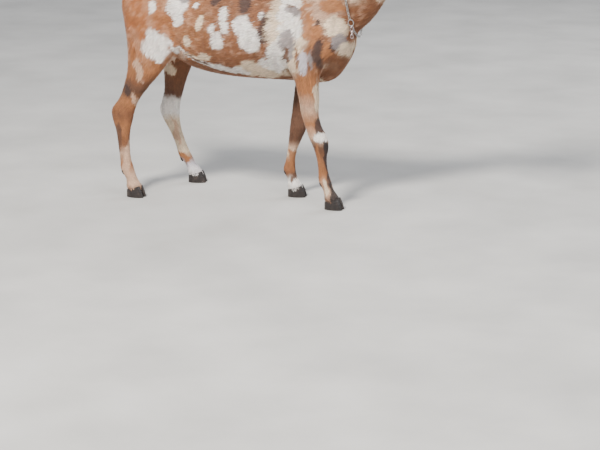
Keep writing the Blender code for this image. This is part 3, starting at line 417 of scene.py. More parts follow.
def press(obj, brushes, axes=((1, 0, 0), (0, 1, 0), (0, 0, 1)), origin=(0, 0, 0)):
    """Raises or sinks the skin by each brush (centre, radii, height), alike on both sides of the body."""
    points, normals = points_of(obj), normals_of(obj)
    local = (points - np.asarray(origin)) @ np.asarray(axes).T
    moved = np.zeros(len(points))
    for centre, radii, height in brushes:
        for side in mirrored(centre):
            away = (local - np.array([centre[0], side * centre[1], centre[2]])) / np.asarray(radii)
            moved += height * np.exp(-np.sum(away**2, axis=1))
    set_points(obj, points + moved[:, None] * normals)


# Where the skin is softened: centre, radius, reach
SOFT_ZONES = [
    ((0.27, -0.08, 0.47), 0.13, 0.022),
    ((0.24, 0.08, 0.47), 0.13, 0.022),
    ((0.28, -0.06, 0.60), 0.12, 0.016),
    ((0.28, 0.06, 0.60), 0.12, 0.016),
    ((-0.25, -0.08, 0.52), 0.17, 0.024),
    ((-0.25, 0.08, 0.52), 0.17, 0.024),
    ((-0.34, 0.00, 0.62), 0.14, 0.024),
    ((0.34, 0.00, 0.64), 0.22, 0.026),
    ((0.22, 0.00, 0.76), 0.14, 0.020),
    ((0.570, 0.00, 0.96), 0.12, 0.013),
    ((-0.395, 0.00, 0.740), 0.06, 0.010),
]

# Muscle and bone under the skin: centre on the left side, radii, height
BODY_BRUSHES = [
    ((0.345, 0.078, 0.520), (0.040, 0.040, 0.045), 0.010),
    ((0.200, 0.105, 0.540), (0.060, 0.050, 0.060), 0.009),
    ((0.130, 0.115, 0.460), (0.035, 0.050, 0.045), -0.008),
    ((0.235, 0.080, 0.680), (0.035, 0.050, 0.080), 0.007),
    ((0.300, 0.070, 0.640), (0.028, 0.050, 0.070), -0.005),
    ((-0.240, 0.085, 0.752), (0.034, 0.030, 0.022), 0.013),
    ((-0.155, 0.100, 0.700), (0.055, 0.060, 0.042), -0.014),
    ((-0.405, 0.042, 0.695), (0.025, 0.025, 0.022), 0.010),
    ((-0.345, 0.080, 0.725), (0.040, 0.050, 0.025), -0.006),
    ((-0.300, 0.105, 0.590), (0.060, 0.050, 0.070), 0.009),
    ((-0.205, 0.105, 0.500), (0.030, 0.050, 0.040), 0.006),
    ((0.300, 0.000, 0.420), (0.070, 0.030, 0.030), 0.006),
]


# Bone and muscle of the head in its own frame (along, left, square to the face): centre, radii, height
HEAD_BRUSHES = [
    ((0.082, 0.050, 0.004), (0.024, 0.018, 0.014), 0.0060),
    ((0.100, 0.052, -0.036), (0.030, 0.020, 0.010), 0.0035),
    ((0.130, 0.042, -0.020), (0.020, 0.015, 0.016), -0.0035),
    ((0.050, 0.055, -0.085), (0.030, 0.025, 0.030), 0.0050),
    ((0.150, 0.036, -0.062), (0.035, 0.020, 0.016), -0.0030),
    ((0.028, 0.022, 0.004), (0.012, 0.012, 0.014), 0.0035),
    ((0.246, 0.021, -0.008), (0.012, 0.010, 0.012), 0.0026),
    ((0.262, 0.000, -0.012), (0.012, 0.010, 0.014), -0.0020),
    ((0.250, 0.024, -0.034), (0.018, 0.014, 0.008), 0.0020),
    ((0.240, 0.026, -0.058), (0.018, 0.015, 0.008), 0.0016),
    ((0.238, 0.000, -0.074), (0.018, 0.020, 0.012), 0.0030),
    ((0.215, 0.012, -0.078), (0.022, 0.018, 0.010), -0.0020),
    ((0.205, 0.028, -0.028), (0.020, 0.015, 0.012), -0.0018),
    ((0.110, 0.000, 0.026), (0.030, 0.020, 0.012), 0.0015),
    ((0.060, 0.000, 0.018), (0.018, 0.024, 0.012), 0.0025),
]

# The eyes: place of the left one in the head's frame, radius of the ball, thickness of the lids,
# length and height of the opening between them, and the tilt of its line
EYE_PLACE = (0.090, 0.0455, -0.010)
EYE_RADIUS = 0.0135
LID = 0.0024
EYE_OPENING = (0.0265, 0.0165)
EYE_TILT = math.radians(-14)
# Half length and height of the pupil as shares of the eye's radius
PUPIL = (0.38, 0.15)

# The mouth's line from the middle of the lips back to its corner, and how it is cut
MOUTH = [(0.266, 0.000, -0.047), (0.257, 0.016, -0.047), (0.238, 0.030, -0.046), (0.210, 0.034, -0.044),
         (0.182, 0.036, -0.047)]
MOUTH_RADIUS = 0.0020
NOSE_MIDDLE = (0.225, 0.0, -0.030)
NOSTRIL_AIM = (0.0300, 0.0180, 0.0170)
NOSTRIL_RADII = (0.0095, 0.0034, 0.0065)

# The ears hang: points of the left one's middle line from its root, measured from the root's place
EAR_ROOT = (0.006, 0.047, -0.026)
EAR_LINE = [(0.000, -0.014, 0.004), (-0.004, 0.012, 0.004), (-0.004, 0.028, -0.012), (0.000, 0.037, -0.050),
            (0.008, 0.041, -0.110), (0.020, 0.046, -0.175), (0.035, 0.053, -0.235), (0.041, 0.057, -0.256),
            (0.045, 0.059, -0.268)]
EAR_HALF_WIDTH = [0.017, 0.024, 0.033, 0.045, 0.054, 0.055, 0.0435, 0.0305, 0.009]
EAR_CURL = [115, 110, 95, 62, 42, 34, 30, 28, 26]
EAR_THICKNESS = 0.0044
# Where the outer side of the left ear faces
EAR_OUT = (-0.34, 0.92, 0.20)

# The udder of a young doe, and its left teat
UDDER_PLACE = (-0.262, 0.0, 0.492)
UDDER_RADII = (0.054, 0.047, 0.042)
TEAT_PLACE = (-0.246, 0.026, 0.449)
TEAT_RADII = (0.0105, 0.0105, 0.0215)
# The hair thins out from these radii round the udder
UDDER_ROUND = (0.060, 0.053, 0.062)

# Each hoof: the leg it belongs to, the middle of its top, and how far it points outward
HOOVES = {
    "foreleg_right": (0.351, -0.078, math.radians(-4)),
    "foreleg_left": (0.180, 0.050, math.radians(4)),
    "hind_leg_right": (-0.342, -0.122, math.radians(-6)),
    "hind_leg_left": (-0.219, 0.140, math.radians(6)),
}
HOOF_BACK = 0.024
HOOF_TOP_FRONT = 0.024
HOOF_SOLE_FRONT = 0.038
CLAW_WIDTH = 0.0228
CLEFT = 0.0022
CORONET_HEIGHT = 0.033
CORONET_SLOPE = 0.30
# Rings of a claw from the sole up: shares of the height, of the sole's reach forward and of the width
CLAW_RINGS = ((0.0, 0.93, 0.90), (0.07, 1.0, 1.0), (0.5, 0.62, 1.0), (1.0, 0.0, 0.94))
CLAW_POINT = 0.42

# Each dewclaw: how far back and out it sits in shares of the pastern's size, how far down, and its lean
DEWCLAW_BACK = 0.68
DEWCLAW_OUT = 0.52
DEWCLAW_DROP = 0.006
DEWCLAW_RADII = (0.0064, 0.0056, 0.0092)
DEWCLAW_LEAN = math.radians(-28)
# Its horn stands inside the skin's bump: how far forward, its size as a share, and its width and taper
HORN_FORWARD = 0.0042
HORN_SIZE = 0.96
HORN_WIDTH = 0.92
HORN_TAPER = 0.34

# The chain collar hangs from the nape; a ring on the right side takes a snap
COLLAR_MIDDLE = Vector((0.388, 0.0, 0.700))
COLLAR_UP = Vector((-0.16, 0.0, 0.987)).normalized()
RING_TURN = math.radians(212)
LINK_LENGTH = 0.0150
LINK_WIDTH = 0.0085
# Links stand this share of their length apart, and each reaches a little into the next
LINK_PITCH = 0.72
LINK_OVERLAP = 0.0024
LINK_WIRE = 0.00105
RING_RADII = (0.0085, 0.0115)
RING_WIRE = 0.0017
# The chain stands off the skin by the coat's depth and hangs a little free below the throat
COLLAR_OFF = 0.0020
COLLAR_HANG = 0.004
# The snap hangs along this line; depth below its top and half thickness of each section of its barrel
SNAP_LINE = Vector((0.05, -0.10, -1.0)).normalized()
BARREL = [(0.0120, 0.0016), (0.0135, 0.0036), (0.0175, 0.0044), (0.0200, 0.0040), (0.0208, 0.0026),
          (0.0222, 0.0026), (0.0230, 0.0044), (0.0260, 0.0046), (0.0275, 0.0030), (0.0280, 0.0012)]


def cut(obj, cutters, operation):
    """Takes the cutters away from a piece or joins them to it, and keeps its largest connected part."""
    group = bpy.data.collections.new("cutting")
    for cutter in cutters:
        group.objects.link(cutter)
    boolean = obj.modifiers.new("cut", "BOOLEAN")
    boolean.operation = operation
    boolean.solver = "MANIFOLD"
    boolean.operand_type = "COLLECTION"
    boolean.collection = group
    apply_modifiers(obj)
    for cutter in cutters:
        bpy.data.objects.remove(cutter, do_unlink=True)
    bpy.data.collections.remove(group)
    return largest_piece(obj)


def largest_piece(obj):
    made = bmesh.new()
    made.from_mesh(obj.data)
    made.verts.ensure_lookup_table()
    seen, best = set(), []
    for start in made.verts:
        if start in seen:
            continue
        piece, queue = [], [start]
        seen.add(start)
        while queue:
            vert = queue.pop()
            piece.append(vert)
            for edge in vert.link_edges:
                other = edge.other_vert(vert)
                if other not in seen:
                    seen.add(other)
                    queue.append(other)
        if len(piece) > len(best):
            best = piece
    kept = set(best)
    bmesh.ops.delete(made, geom=[v for v in made.verts if v not in kept], context="VERTS")
    made.to_mesh(obj.data)
    made.free()
    return obj


def udder():
    """The small udder of a young doe, with its two teats."""
    shapes = [ball("bag", UDDER_PLACE, UDDER_RADII, 20, 12)]
    x, y, z = TEAT_PLACE
    for side in (1, -1):
        shapes.append(ball("teat", (x, side * y, z), TEAT_RADII, 12, 8))
    return shapes


def flesh(name, pieces, voxel, zones):
    skin = one_skin(joined(name, pieces), voxel)
    relax(skin, zones, voxel)
    return skin


def ball(name, centre, radii, segments, rings, turned=Matrix.Identity(3)):
    """A ball with a radius along each of three axes."""
    made = bmesh.new()
    shape = Matrix.Translation(centre) @ turned.to_4x4() @ Matrix.Diagonal((*radii, 1.0))
    bmesh.ops.create_uvsphere(made, u_segments=segments, v_segments=rings, radius=1.0, matrix=shape)
    return taken(name, made)


def eye_frame(side):
    """Where the eye looks: its columns are the line of the lids, up across them, and outward."""
    out = (0.20 * HEAD_U + 0.22 * HEAD_V + side * 0.955 * HEAD_W).normalized()
    along = (HEAD_U - HEAD_U.dot(out) * out).normalized()
    along.rotate(Matrix.Rotation(EYE_TILT * side, 3, out))
    across = out.cross(along) * side
    return along, across, out


def lid_opening(side, centre, corners=16):
    """An almond-shaped block, from inside the eyeball out through the lids."""
    along, across, out = eye_frame(side)
    points = []
    for depth, growth in ((0.004, 0.8), (0.030, 1.35)):
        for i in range(corners):
            turn = 2 * math.pi * i / corners
            reach = math.cos(turn) * EYE_OPENING[0] / 2
            height = math.sin(turn) * abs(math.sin(turn)) ** 0.35 * EYE_OPENING[1] / 2
            points.append(centre + out * depth + (along * reach + across * height) * growth)
    faces = [tuple(range(corners)), tuple(range(corners, 2 * corners)), *bands(2, corners)]
    return mesh_object("lid_opening", points, faces)


def tube(name, path, radius, corners):
    """A closed round tube along points."""
    path = np.asarray(path, float)
    along = unit(np.gradient(path, axis=0))
    ups = unit(np.cross(along, np.array([0.31, 0.17, 0.93])))
    return mesh_object(name, *loft(path, ups, np.cross(along, ups), radius, radius, radius, 2, 0, 0, corners))


def on_surface(tree, point, middle):
    """The place where a ray from the middle through the point leaves the surface."""
    ray = (point - middle).normalized()
    hit, normal, _, _ = tree.ray_cast(middle + ray * 0.5, -ray)
    return hit, normal


# Places along the mouth's line, filled in when it is cut
LIPS = []


def mouth_cut(head):
    tree = tree_of(head)
    half = spline(MOUTH, 12)
    points = [(u, -w, v) for u, w, v in half[:0:-1].tolist()] + half.tolist()
    for u, w, v in points:
        hit, _ = on_surface(tree, head_point(u, v, w), head_point(min(u - 0.012, NOSE_MIDDLE[0]), v, w * 0.1))
        LIPS.append(hit)
    return tube("mouth", LIPS, MOUTH_RADIUS, 6)


def nostril(head, side):
    """A slanting slit sunk into the side of the nose, its long axis rising towards the outside."""
    middle = head_place(NOSE_MIDDLE)
    aim = middle + head_place(NOSTRIL_AIM, side) - POLL
    place, out = on_surface(tree_of(head), aim, middle)
    along = (HEAD_V - 0.75 * HEAD_U + side * 0.55 * HEAD_W)
    along = (along - along.dot(out) * out).normalized()
    turned = Matrix((along, out.cross(along), out)).transposed()
    return ball("nostril", place, NOSTRIL_RADII, 12, 8, turned)


def collar_route(tree, turns):
    """Points of the collar and the skin's normals there, at turns round the neck from the nape."""
    places, normals = [], []
    for turn in turns:
        ray = COLLAR_UP * math.cos(turn) + Vector((0, 1, 0)) * math.sin(turn)
        hit, normal, _, _ = tree.ray_cast(COLLAR_MIDDLE + ray * 0.5, -ray)
        hang = COLLAR_HANG * max(0.0, -math.cos(turn)) ** 2
        places.append(hit + normal * (LINK_WIDTH / 2 + COLLAR_OFF + hang))
        normals.append(normal)
    return places, normals


def shade(red, green, blue):
    """A colour as seen, each value from 0 to 255, in the linear values of the materials."""
    seen = np.array((red, green, blue)) / 255.0
    return np.where(seen <= 0.04045, seen / 12.92, ((seen + 0.055) / 1.055) ** 2.4)


COLOURS = {
    "white": shade(246, 238, 230),
    "cream": shade(230, 206, 176),
    "pinkish": shade(204, 166, 138),
    "grey": shade(142, 132, 130),
    "lavender": shade(196, 190, 198),
    "tan": shade(165, 106, 63),
    "orange": shade(168, 95, 46),
    "brown": shade(128, 80, 49),
    "umber": shade(102, 67, 46),
    "dark": shade(64, 44, 38),
    "black": shade(40, 34, 34),
    "skin": shade(120, 88, 80),
}

# Length of the hair and depth of the coat: by part, down the legs by height, and along the head
HAIR = {
    "trunk": (0.0165, 0.0034),
    "neck": (0.0150, 0.0034),
    "tail": (0.0260, 0.0046),
    "ear": (0.0062, 0.0006),
}
LEG_HAIR = ((0.60, 0.0150, 0.0034), (0.45, 0.0130, 0.0030), (0.30, 0.0090, 0.0020), (0.15, 0.0075, 0.0015),
            (0.05, 0.0090, 0.0017), (0.02, 0.0080, 0.0014))
HEAD_HAIR = ((-0.03, 0.0100, 0.0024), (0.06, 0.0070, 0.0014), (0.14, 0.0056, 0.0010), (0.22, 0.0040, 0.0007),
             (0.27, 0.0028, 0.0005))

# Lie of the hair on the trunk: level as a share of its height, reach and direction
TRUNK_WAYS = ((0.78, 0.085, (-1, 0, -0.15)), (0.5, 0.095, (-1, 0, -0.45)), (0.2, 0.085, (-0.9, 0, -0.25)))

PARTS = ["trunk", "neck", "head", "tail", "foreleg_right", "foreleg_left", "hind_leg_right", "hind_leg_left",
         "ear_right", "ear_left"]


def share_of(shares, *parts):
    return sum(shares[:, PARTS.index(part)] for part in parts)


def anchors():
    """Places from which the hair's lie and length are blended, as rows: place, reach, direction of the hair,
    its length, depth of the coat, and the part's number."""
    rows = []

    def add(part, places, reach, ways, length, depth):
        reach, length, depth, number = (
            np.broadcast_to(value, len(places)) for value in (reach, length, depth, PARTS.index(part)))
        rows.append(np.column_stack([places, reach, unit(ways), length, depth, number]))

    t = spline(TRUNK, 17)
    for share, reach, way in TRUNK_WAYS:
        places = np.stack([t[:, 0], t[:, 0] * 0, t[:, 2] + share * (t[:, 1] - t[:, 2])], axis=1)
        add("trunk", places, reach, directions(len(t), way), *HAIR["trunk"])
    for part, table, flip, fall in (("neck", NECK, -1, -0.15), ("tail", TAIL, 1, 0.0)):
        t = spline([(x, 0.0, z, half) for x, z, _, _, half in table], 12)
        way = unit(np.gradient(t[:, :3], axis=0) * flip) + (0.0, 0.0, fall)
        add(part, t[:, :3], t[:, 3] * 1.1 + 0.012, way, *HAIR[part])
    t = spline([(u, 0.0, (top + low) / 2, half) for u, top, low, half, *_ in HEAD], 14)
    places = np.array([head_point(u, v, 0.0) for u, _, v, _ in t.tolist()])
    add("head", places, t[:, 3] + 0.012, directions(len(t), -HEAD_U), *between(t[:, 0], HEAD_HAIR))
    for part, table in LEGS.items():
        t = spline(table, 30)
        swept = np.clip((t[:, 2:3] - 0.35) * 2.0, 0, 0.6) * (-1.0, 0.0, 0.0)
        way = unit(np.gradient(t[:, :3], axis=0)) + swept
        add(part, t[:, :3], t[:, 5] * 1.1 + 0.008, way, *between(t[:, 2], LEG_HAIR))
    root, t = np.array(head_place(EAR_ROOT)), spline(EAR_LINE, 16)
    for part, side in (("ear_right", -1), ("ear_left", 1)):
        flip = (1, side, 1)
        add(part, (root + t) * flip, 0.030, np.gradient(t, axis=0) * flip, *HAIR["ear"])
    return np.concatenate(rows)


ANCHORS = anchors()


def blended(points):
    """For each point: way of the hair, its length, depth of the coat, its part, each part's share."""
    ways = np.zeros((len(points), 3))
    sums = np.zeros((len(points), 3))
    parts = np.zeros((len(points), len(PARTS)))
    for row in ANCHORS:
        away = np.sum((points - row[:3]) ** 2, axis=1) / row[3] ** 2
        weight = np.exp(-away) + 1e-12 / (1 + away)
        ways += weight[:, None] * row[4:7]
        sums += weight[:, None] * (row[7], row[8], 1.0)
        parts[:, int(row[9])] += weight
    parts /= sums[:, 2:]
    return ways / sums[:, 2:], sums[:, 0] / sums[:, 2], sums[:, 1] / sums[:, 2], parts.argmax(axis=1), parts


def noise(points, size, seed=0):
    """Smooth random values from 0 to 1 through space, with details of one size."""
    p = points / size + seed * 17.31
    low = np.floor(p)
    f = p - low
    f = f * f * (3 - 2 * f)
    total = np.zeros(len(points))
    for corner in np.ndindex(2, 2, 2):
        at = (low + corner) @ (127.1, 311.7, 74.7)
        value = np.sin(at) * 43758.5453
        value -= np.floor(value)
        share = np.prod(np.where(corner, f, 1 - f), axis=1)
        total += share * value
    return total


def noises(points, size, seed):
    """Three smooth random values from -0.5 to 0.5 at each point."""
    return np.stack([noise(points, size, seed + i) - 0.5 for i in range(3)], axis=1)


def step(low, high, value):
    """A smooth rise from 0 at low to 1 at high, which may be the lower of the two."""
    t = np.clip((value - low) / (high - low), 0, 1)
    return t * t * (3 - 2 * t)


# Marks on each side, in the order they are laid over each other: colour, middle x, z, radii, tilt in degrees,
# how ragged
RIGHT_MARKS = [
    ("white", -0.264, 0.658, 0.0124, 0.0216, 0, 0.25), ("white", -0.175, 0.660, 0.036, 0.034, 0, 0.35),
    ("white", -0.168, 0.622, 0.020, 0.0247, 0, 0.35), ("grey", -0.156, 0.679, 0.018, 0.010, 0, 0.4),
    ("white", -0.107, 0.664, 0.0106, 0.0094, 0, 0.3), ("cream", -0.089, 0.612, 0.0117, 0.0213, -20, 0.3),
    ("white", -0.253, 0.527, 0.0454, 0.0455, 0, 0.22), ("white", -0.265, 0.567, 0.0268, 0.0186, 0, 0.6),
    ("white", -0.238, 0.486, 0.0133, 0.0231, 0, 0.4), ("pinkish", -0.314, 0.443, 0.0175, 0.0391, 10, 0.5),
    ("cream", -0.140, 0.546, 0.0132, 0.0182, 0, 0.6), ("pinkish", -0.170, 0.492, 0.0185, 0.0184, 0, 0.5),
    ("cream", -0.073, 0.494, 0.0205, 0.0134, 0, 0.6), ("dark", -0.041, 0.682, 0.0192, 0.0172, 0, 0.3),
    ("dark", 0.060, 0.672, 0.0199, 0.0260, 0, 0.3), ("white", 0.075, 0.694, 0.0136, 0.0083, 0, 0.3),
    ("white", -0.008, 0.639, 0.0139, 0.0269, -8, 0.25), ("white", -0.001, 0.604, 0.0118, 0.0223, 6, 0.25),
    ("white", -0.043, 0.597, 0.0136, 0.0144, 0, 0.25), ("white", -0.027, 0.555, 0.0224, 0.0311, 0, 0.25),
    ("white", 0.056, 0.612, 0.0279, 0.0292, 0, 0.2), ("white", 0.088, 0.567, 0.0327, 0.0441, 12, 0.2),
    ("white", 0.121, 0.639, 0.0092, 0.0133, 0, 0.3), ("dark", 0.136, 0.602, 0.0218, 0.0457, 0, 0.3),
    ("lavender", 0.152, 0.606, 0.0099, 0.0163, 0, 0.4), ("cream", 0.208, 0.594, 0.0640, 0.1450, 4, 0.30),
    ("white", 0.215, 0.640, 0.0480, 0.0600, 0, 0.60), ("white", 0.180, 0.520, 0.0380, 0.0560, -14, 0.60),
    ("cream", 0.113, 0.462, 0.0763, 0.0330, 0, 0.55), ("white", 0.150, 0.478, 0.0500, 0.0200, -12, 0.60),
    ("umber", 0.225, 0.668, 0.0285, 0.0110, -8, 0.70), ("grey", 0.222, 0.661, 0.0275, 0.0131, 0, 0.60),
    ("grey", 0.212, 0.547, 0.0243, 0.0457, 6, 0.55), ("umber", 0.203, 0.520, 0.0110, 0.0300, 0, 0.60),
    ("brown", 0.244, 0.513, 0.0068, 0.0391, 0, 0.60), ("lavender", 0.264, 0.503, 0.0142, 0.0427, 0, 0.45),
    ("grey", 0.289, 0.506, 0.0086, 0.0311, 0, 0.50), ("tan", 0.285, 0.625, 0.0300, 0.0700, 10, 0.50),
    ("pinkish", 0.330, 0.650, 0.0500, 0.0400, -20, 0.60), ("cream", 0.345, 0.480, 0.0240, 0.0140, -30, 0.70),
    ("dark", 0.307, 0.622, 0.0082, 0.0137, 0, 0.3), ("tan", 0.303, 0.588, 0.0179, 0.0234, 0, 0.4),
    ("dark", 0.313, 0.529, 0.0175, 0.0445, 0, 0.25), ("tan", 0.340, 0.534, 0.0155, 0.0328, 0, 0.3),
    ("dark", 0.354, 0.544, 0.0065, 0.0146, 0, 0.3), ("tan", 0.348, 0.682, 0.0394, 0.0252, 0, 0.3),
    ("cream", 0.361, 0.612, 0.0379, 0.0323, 0, 0.3), ("grey", 0.373, 0.563, 0.0193, 0.0256, 0, 0.4),
    ("cream", 0.392, 0.534, 0.0242, 0.0274, 0, 0.3), ("brown", 0.359, 0.487, 0.0316, 0.0392, 0, 0.3),
    # The thin white and cream strands at x -0.196 to -0.078 along the flank fold are partly white hair and
    # partly painted highlight of sunlit strands; the two thin umber lines between them are painted shade
    ("brown", 0.474, 0.690, 0.0154, 0.0280, 10, 0.4), ("white", -0.196, 0.520, 0.0080, 0.0280, 24, 0.6),
    ("white", -0.150, 0.502, 0.0400, 0.0080, -36, 0.5), ("cream", -0.112, 0.485, 0.0480, 0.0080, -26, 0.5),
    ("white", -0.078, 0.468, 0.0560, 0.0080, -16, 0.5), ("white", 0.010, 0.455, 0.0600, 0.0120, -6, 0.7),
    ("umber", -0.135, 0.490, 0.0400, 0.0036, -30, 0.5), ("umber", -0.100, 0.477, 0.0440, 0.0036, -20, 0.5),
    ("umber", -0.349, 0.378, 0.0190, 0.0320, 12, 0.5), ("dark", -0.358, 0.372, 0.0100, 0.0240, 16, 0.6),
    ("pinkish", -0.328, 0.330, 0.0100, 0.0300, 20, 0.6), ("umber", -0.398, 0.196, 0.0120, 0.0760, -4, 0.6),
    ("pinkish", -0.366, 0.130, 0.0100, 0.0640, -6, 0.6), ("pinkish", -0.337, 0.066, 0.0175, 0.0286, 0, 0.6),
    ("cream", 0.303, 0.376, 0.0070, 0.0540, 0, 0.6), ("dark", 0.309, 0.282, 0.0160, 0.0260, 10, 0.4),
    ("white", 0.316, 0.244, 0.0260, 0.0140, 4, 0.4), ("black", 0.334, 0.205, 0.0110, 0.0250, 6, 0.4),
    ("dark", 0.338, 0.140, 0.0085, 0.0560, 8, 0.4), ("black", 0.360, 0.066, 0.0120, 0.0440, 16, 0.4),
    ("cream", 0.334, 0.080, 0.0070, 0.0300, 12, 0.5), ("tan", 0.306, 0.160, 0.0110, 0.0560, 4, 0.6),
    ("white", -0.060, 0.728, 0.0360, 0.0180, 8, 0.55), ("white", 0.030, 0.730, 0.0240, 0.0150, 0, 0.60),
    ("white", 0.150, 0.722, 0.0340, 0.0200, -12, 0.55), ("white", -0.325, 0.700, 0.0260, 0.0200, 30, 0.65),
    ("cream", 0.420, 0.800, 0.0260, 0.0420, 38, 0.35), ("cream", 0.520, 0.880, 0.0150, 0.0300, 38, 0.35),
]
LEFT_MARKS = [
    ("pinkish", -0.275, 0.180, 0.0100, 0.0500, 14, 0.6), ("tan", -0.256, 0.090, 0.0120, 0.0260, 14, 0.6),
    ("umber", 0.176, 0.076, 0.0160, 0.0220, 0, 0.5), ("tan", 0.166, 0.120, 0.0080, 0.0360, 0, 0.6),
    ("white", -0.225, 0.600, 0.0600, 0.0420, 15, 0.45), ("white", -0.190, 0.550, 0.0320, 0.0460, -25, 0.55),
    ("white", -0.305, 0.645, 0.0260, 0.0380, 30, 0.50), ("cream", -0.265, 0.520, 0.0240, 0.0300, 0, 0.55),
    ("cream", -0.130, 0.645, 0.0260, 0.0420, -15, 0.50), ("white", -0.115, 0.610, 0.0180, 0.0260, 20, 0.50),
    ("white", -0.075, 0.550, 0.0420, 0.0360, -20, 0.50), ("white", -0.030, 0.580, 0.0240, 0.0300, 30, 0.50),
    ("white", -0.015, 0.655, 0.0220, 0.0300, 0, 0.50), ("dark", -0.060, 0.700, 0.0380, 0.0240, -10, 0.55),
    ("white", 0.045, 0.590, 0.0440, 0.0520, -14, 0.45), ("white", 0.080, 0.630, 0.0280, 0.0320, 30, 0.50),
    ("dark", 0.132, 0.560, 0.0240, 0.0580, 8, 0.50), ("grey", 0.118, 0.620, 0.0160, 0.0300, 0, 0.60),
    ("white", 0.050, 0.490, 0.0520, 0.0200, 6, 0.55), ("pinkish", 0.225, 0.600, 0.0580, 0.1150, 0, 0.30),
    ("white", 0.205, 0.655, 0.0420, 0.0340, 0, 0.60), ("grey", 0.215, 0.565, 0.0320, 0.0440, 0, 0.60),
    ("umber", 0.235, 0.520, 0.0140, 0.0380, 8, 0.60), ("brown", 0.255, 0.640, 0.0140, 0.0360, 0, 0.50),
    ("dark", 0.305, 0.560, 0.0200, 0.0460, 0, 0.45), ("tan", 0.345, 0.640, 0.0400, 0.0360, 0, 0.40),
    ("cream", 0.368, 0.575, 0.0320, 0.0460, 12, 0.45), ("cream", -0.300, 0.430, 0.0220, 0.0420, 20, 0.60),
    ("white", -0.110, 0.730, 0.0380, 0.0200, 0, 0.45), ("white", 0.060, 0.728, 0.0300, 0.0200, 10, 0.45),
    ("cream", 0.440, 0.815, 0.0320, 0.0560, 38, 0.45), ("cream", 0.500, 0.870, 0.0200, 0.0340, 38, 0.45),
]

# Colours down each leg: height, colour. On the left legs the brown and umber down to the knee and the hock
# are partly the coat's own colour and partly painted shade cast by the body, ending sharply where that shade
# ends
LEG_COLOURS = {
    "foreleg_right": [(0.46, "tan"), (0.40, "tan"), (0.345, "pinkish"), (0.290, "tan"), (0.250, "pinkish"),
                      (0.215, "umber"), (0.120, "tan"), (0.06, "pinkish"), (0.03, "umber")],
    # Painted shade: this leg's umber from 0.42 down to 0.20 is partly shade cast by the body
    "foreleg_left": [(0.48, "brown"), (0.42, "umber"), (0.200, "umber"), (0.180, "pinkish"), (0.150, "cream"),
                     (0.125, "tan"), (0.080, "brown"), (0.062, "white"), (0.02, "white")],
    "hind_leg_right": [(0.52, "tan"), (0.44, "tan"), (0.405, "brown"), (0.365, "umber"), (0.335, "tan"),
                       (0.285, "brown"), (0.245, "tan"), (0.185, "brown"), (0.155, "pinkish"),
                       (0.115, "tan"), (0.080, "pinkish"), (0.05, "pinkish"), (0.02, "brown")],
    # Painted shade: this leg's brown and umber above the hock are partly shade cast by the body, with a sharp
    # edge at 0.30
    "hind_leg_left": [(0.52, "brown"), (0.42, "brown"), (0.320, "umber"), (0.300, "white"), (0.250, "white"),
                      (0.228, "cream"), (0.115, "cream"), (0.092, "tan"), (0.072, "lavender"),
                      (0.02, "white")],
}

# Marks on the head in its own frame (along, left, square to the face): colour, middle, radii, softness,
# strength
HEAD_MARKS = [
    ("brown", (0.120, 0.0, 0.030), (0.130, 0.022, 0.030), 0.35, 0.8),
    ("dark", (0.030, 0.0, 0.006), (0.030, 0.022, 0.022), 0.4, 0.6),
    ("cream", (0.100, 0.048, 0.016), (0.040, 0.010, 0.012), 0.4, 0.8),
    ("cream", (0.150, 0.046, -0.030), (0.045, 0.020, 0.007), 0.4, 0.6),
    ("dark", (0.090, 0.052, -0.010), (0.024, 0.022, 0.017), 0.35, 0.75),
    ("cream", (0.235, 0.0, -0.046), (0.030, 0.050, 0.030), 0.3, 0.7),
    ("cream", (0.200, 0.0, -0.078), (0.080, 0.030, 0.018), 0.3, 0.8),
    ("skin", (0.262, 0.017, -0.012), (0.016, 0.010, 0.014), 0.5, 0.75),
    ("skin", (0.270, 0.0, -0.030), (0.014, 0.010, 0.020), 0.5, 0.6),
    ("skin", (0.262, 0.0, -0.047), (0.024, 0.040, 0.0045), 0.4, 0.6),
    ("white", (0.052, 0.0, 0.020), (0.017, 0.010, 0.016), 0.4, 0.8),
]


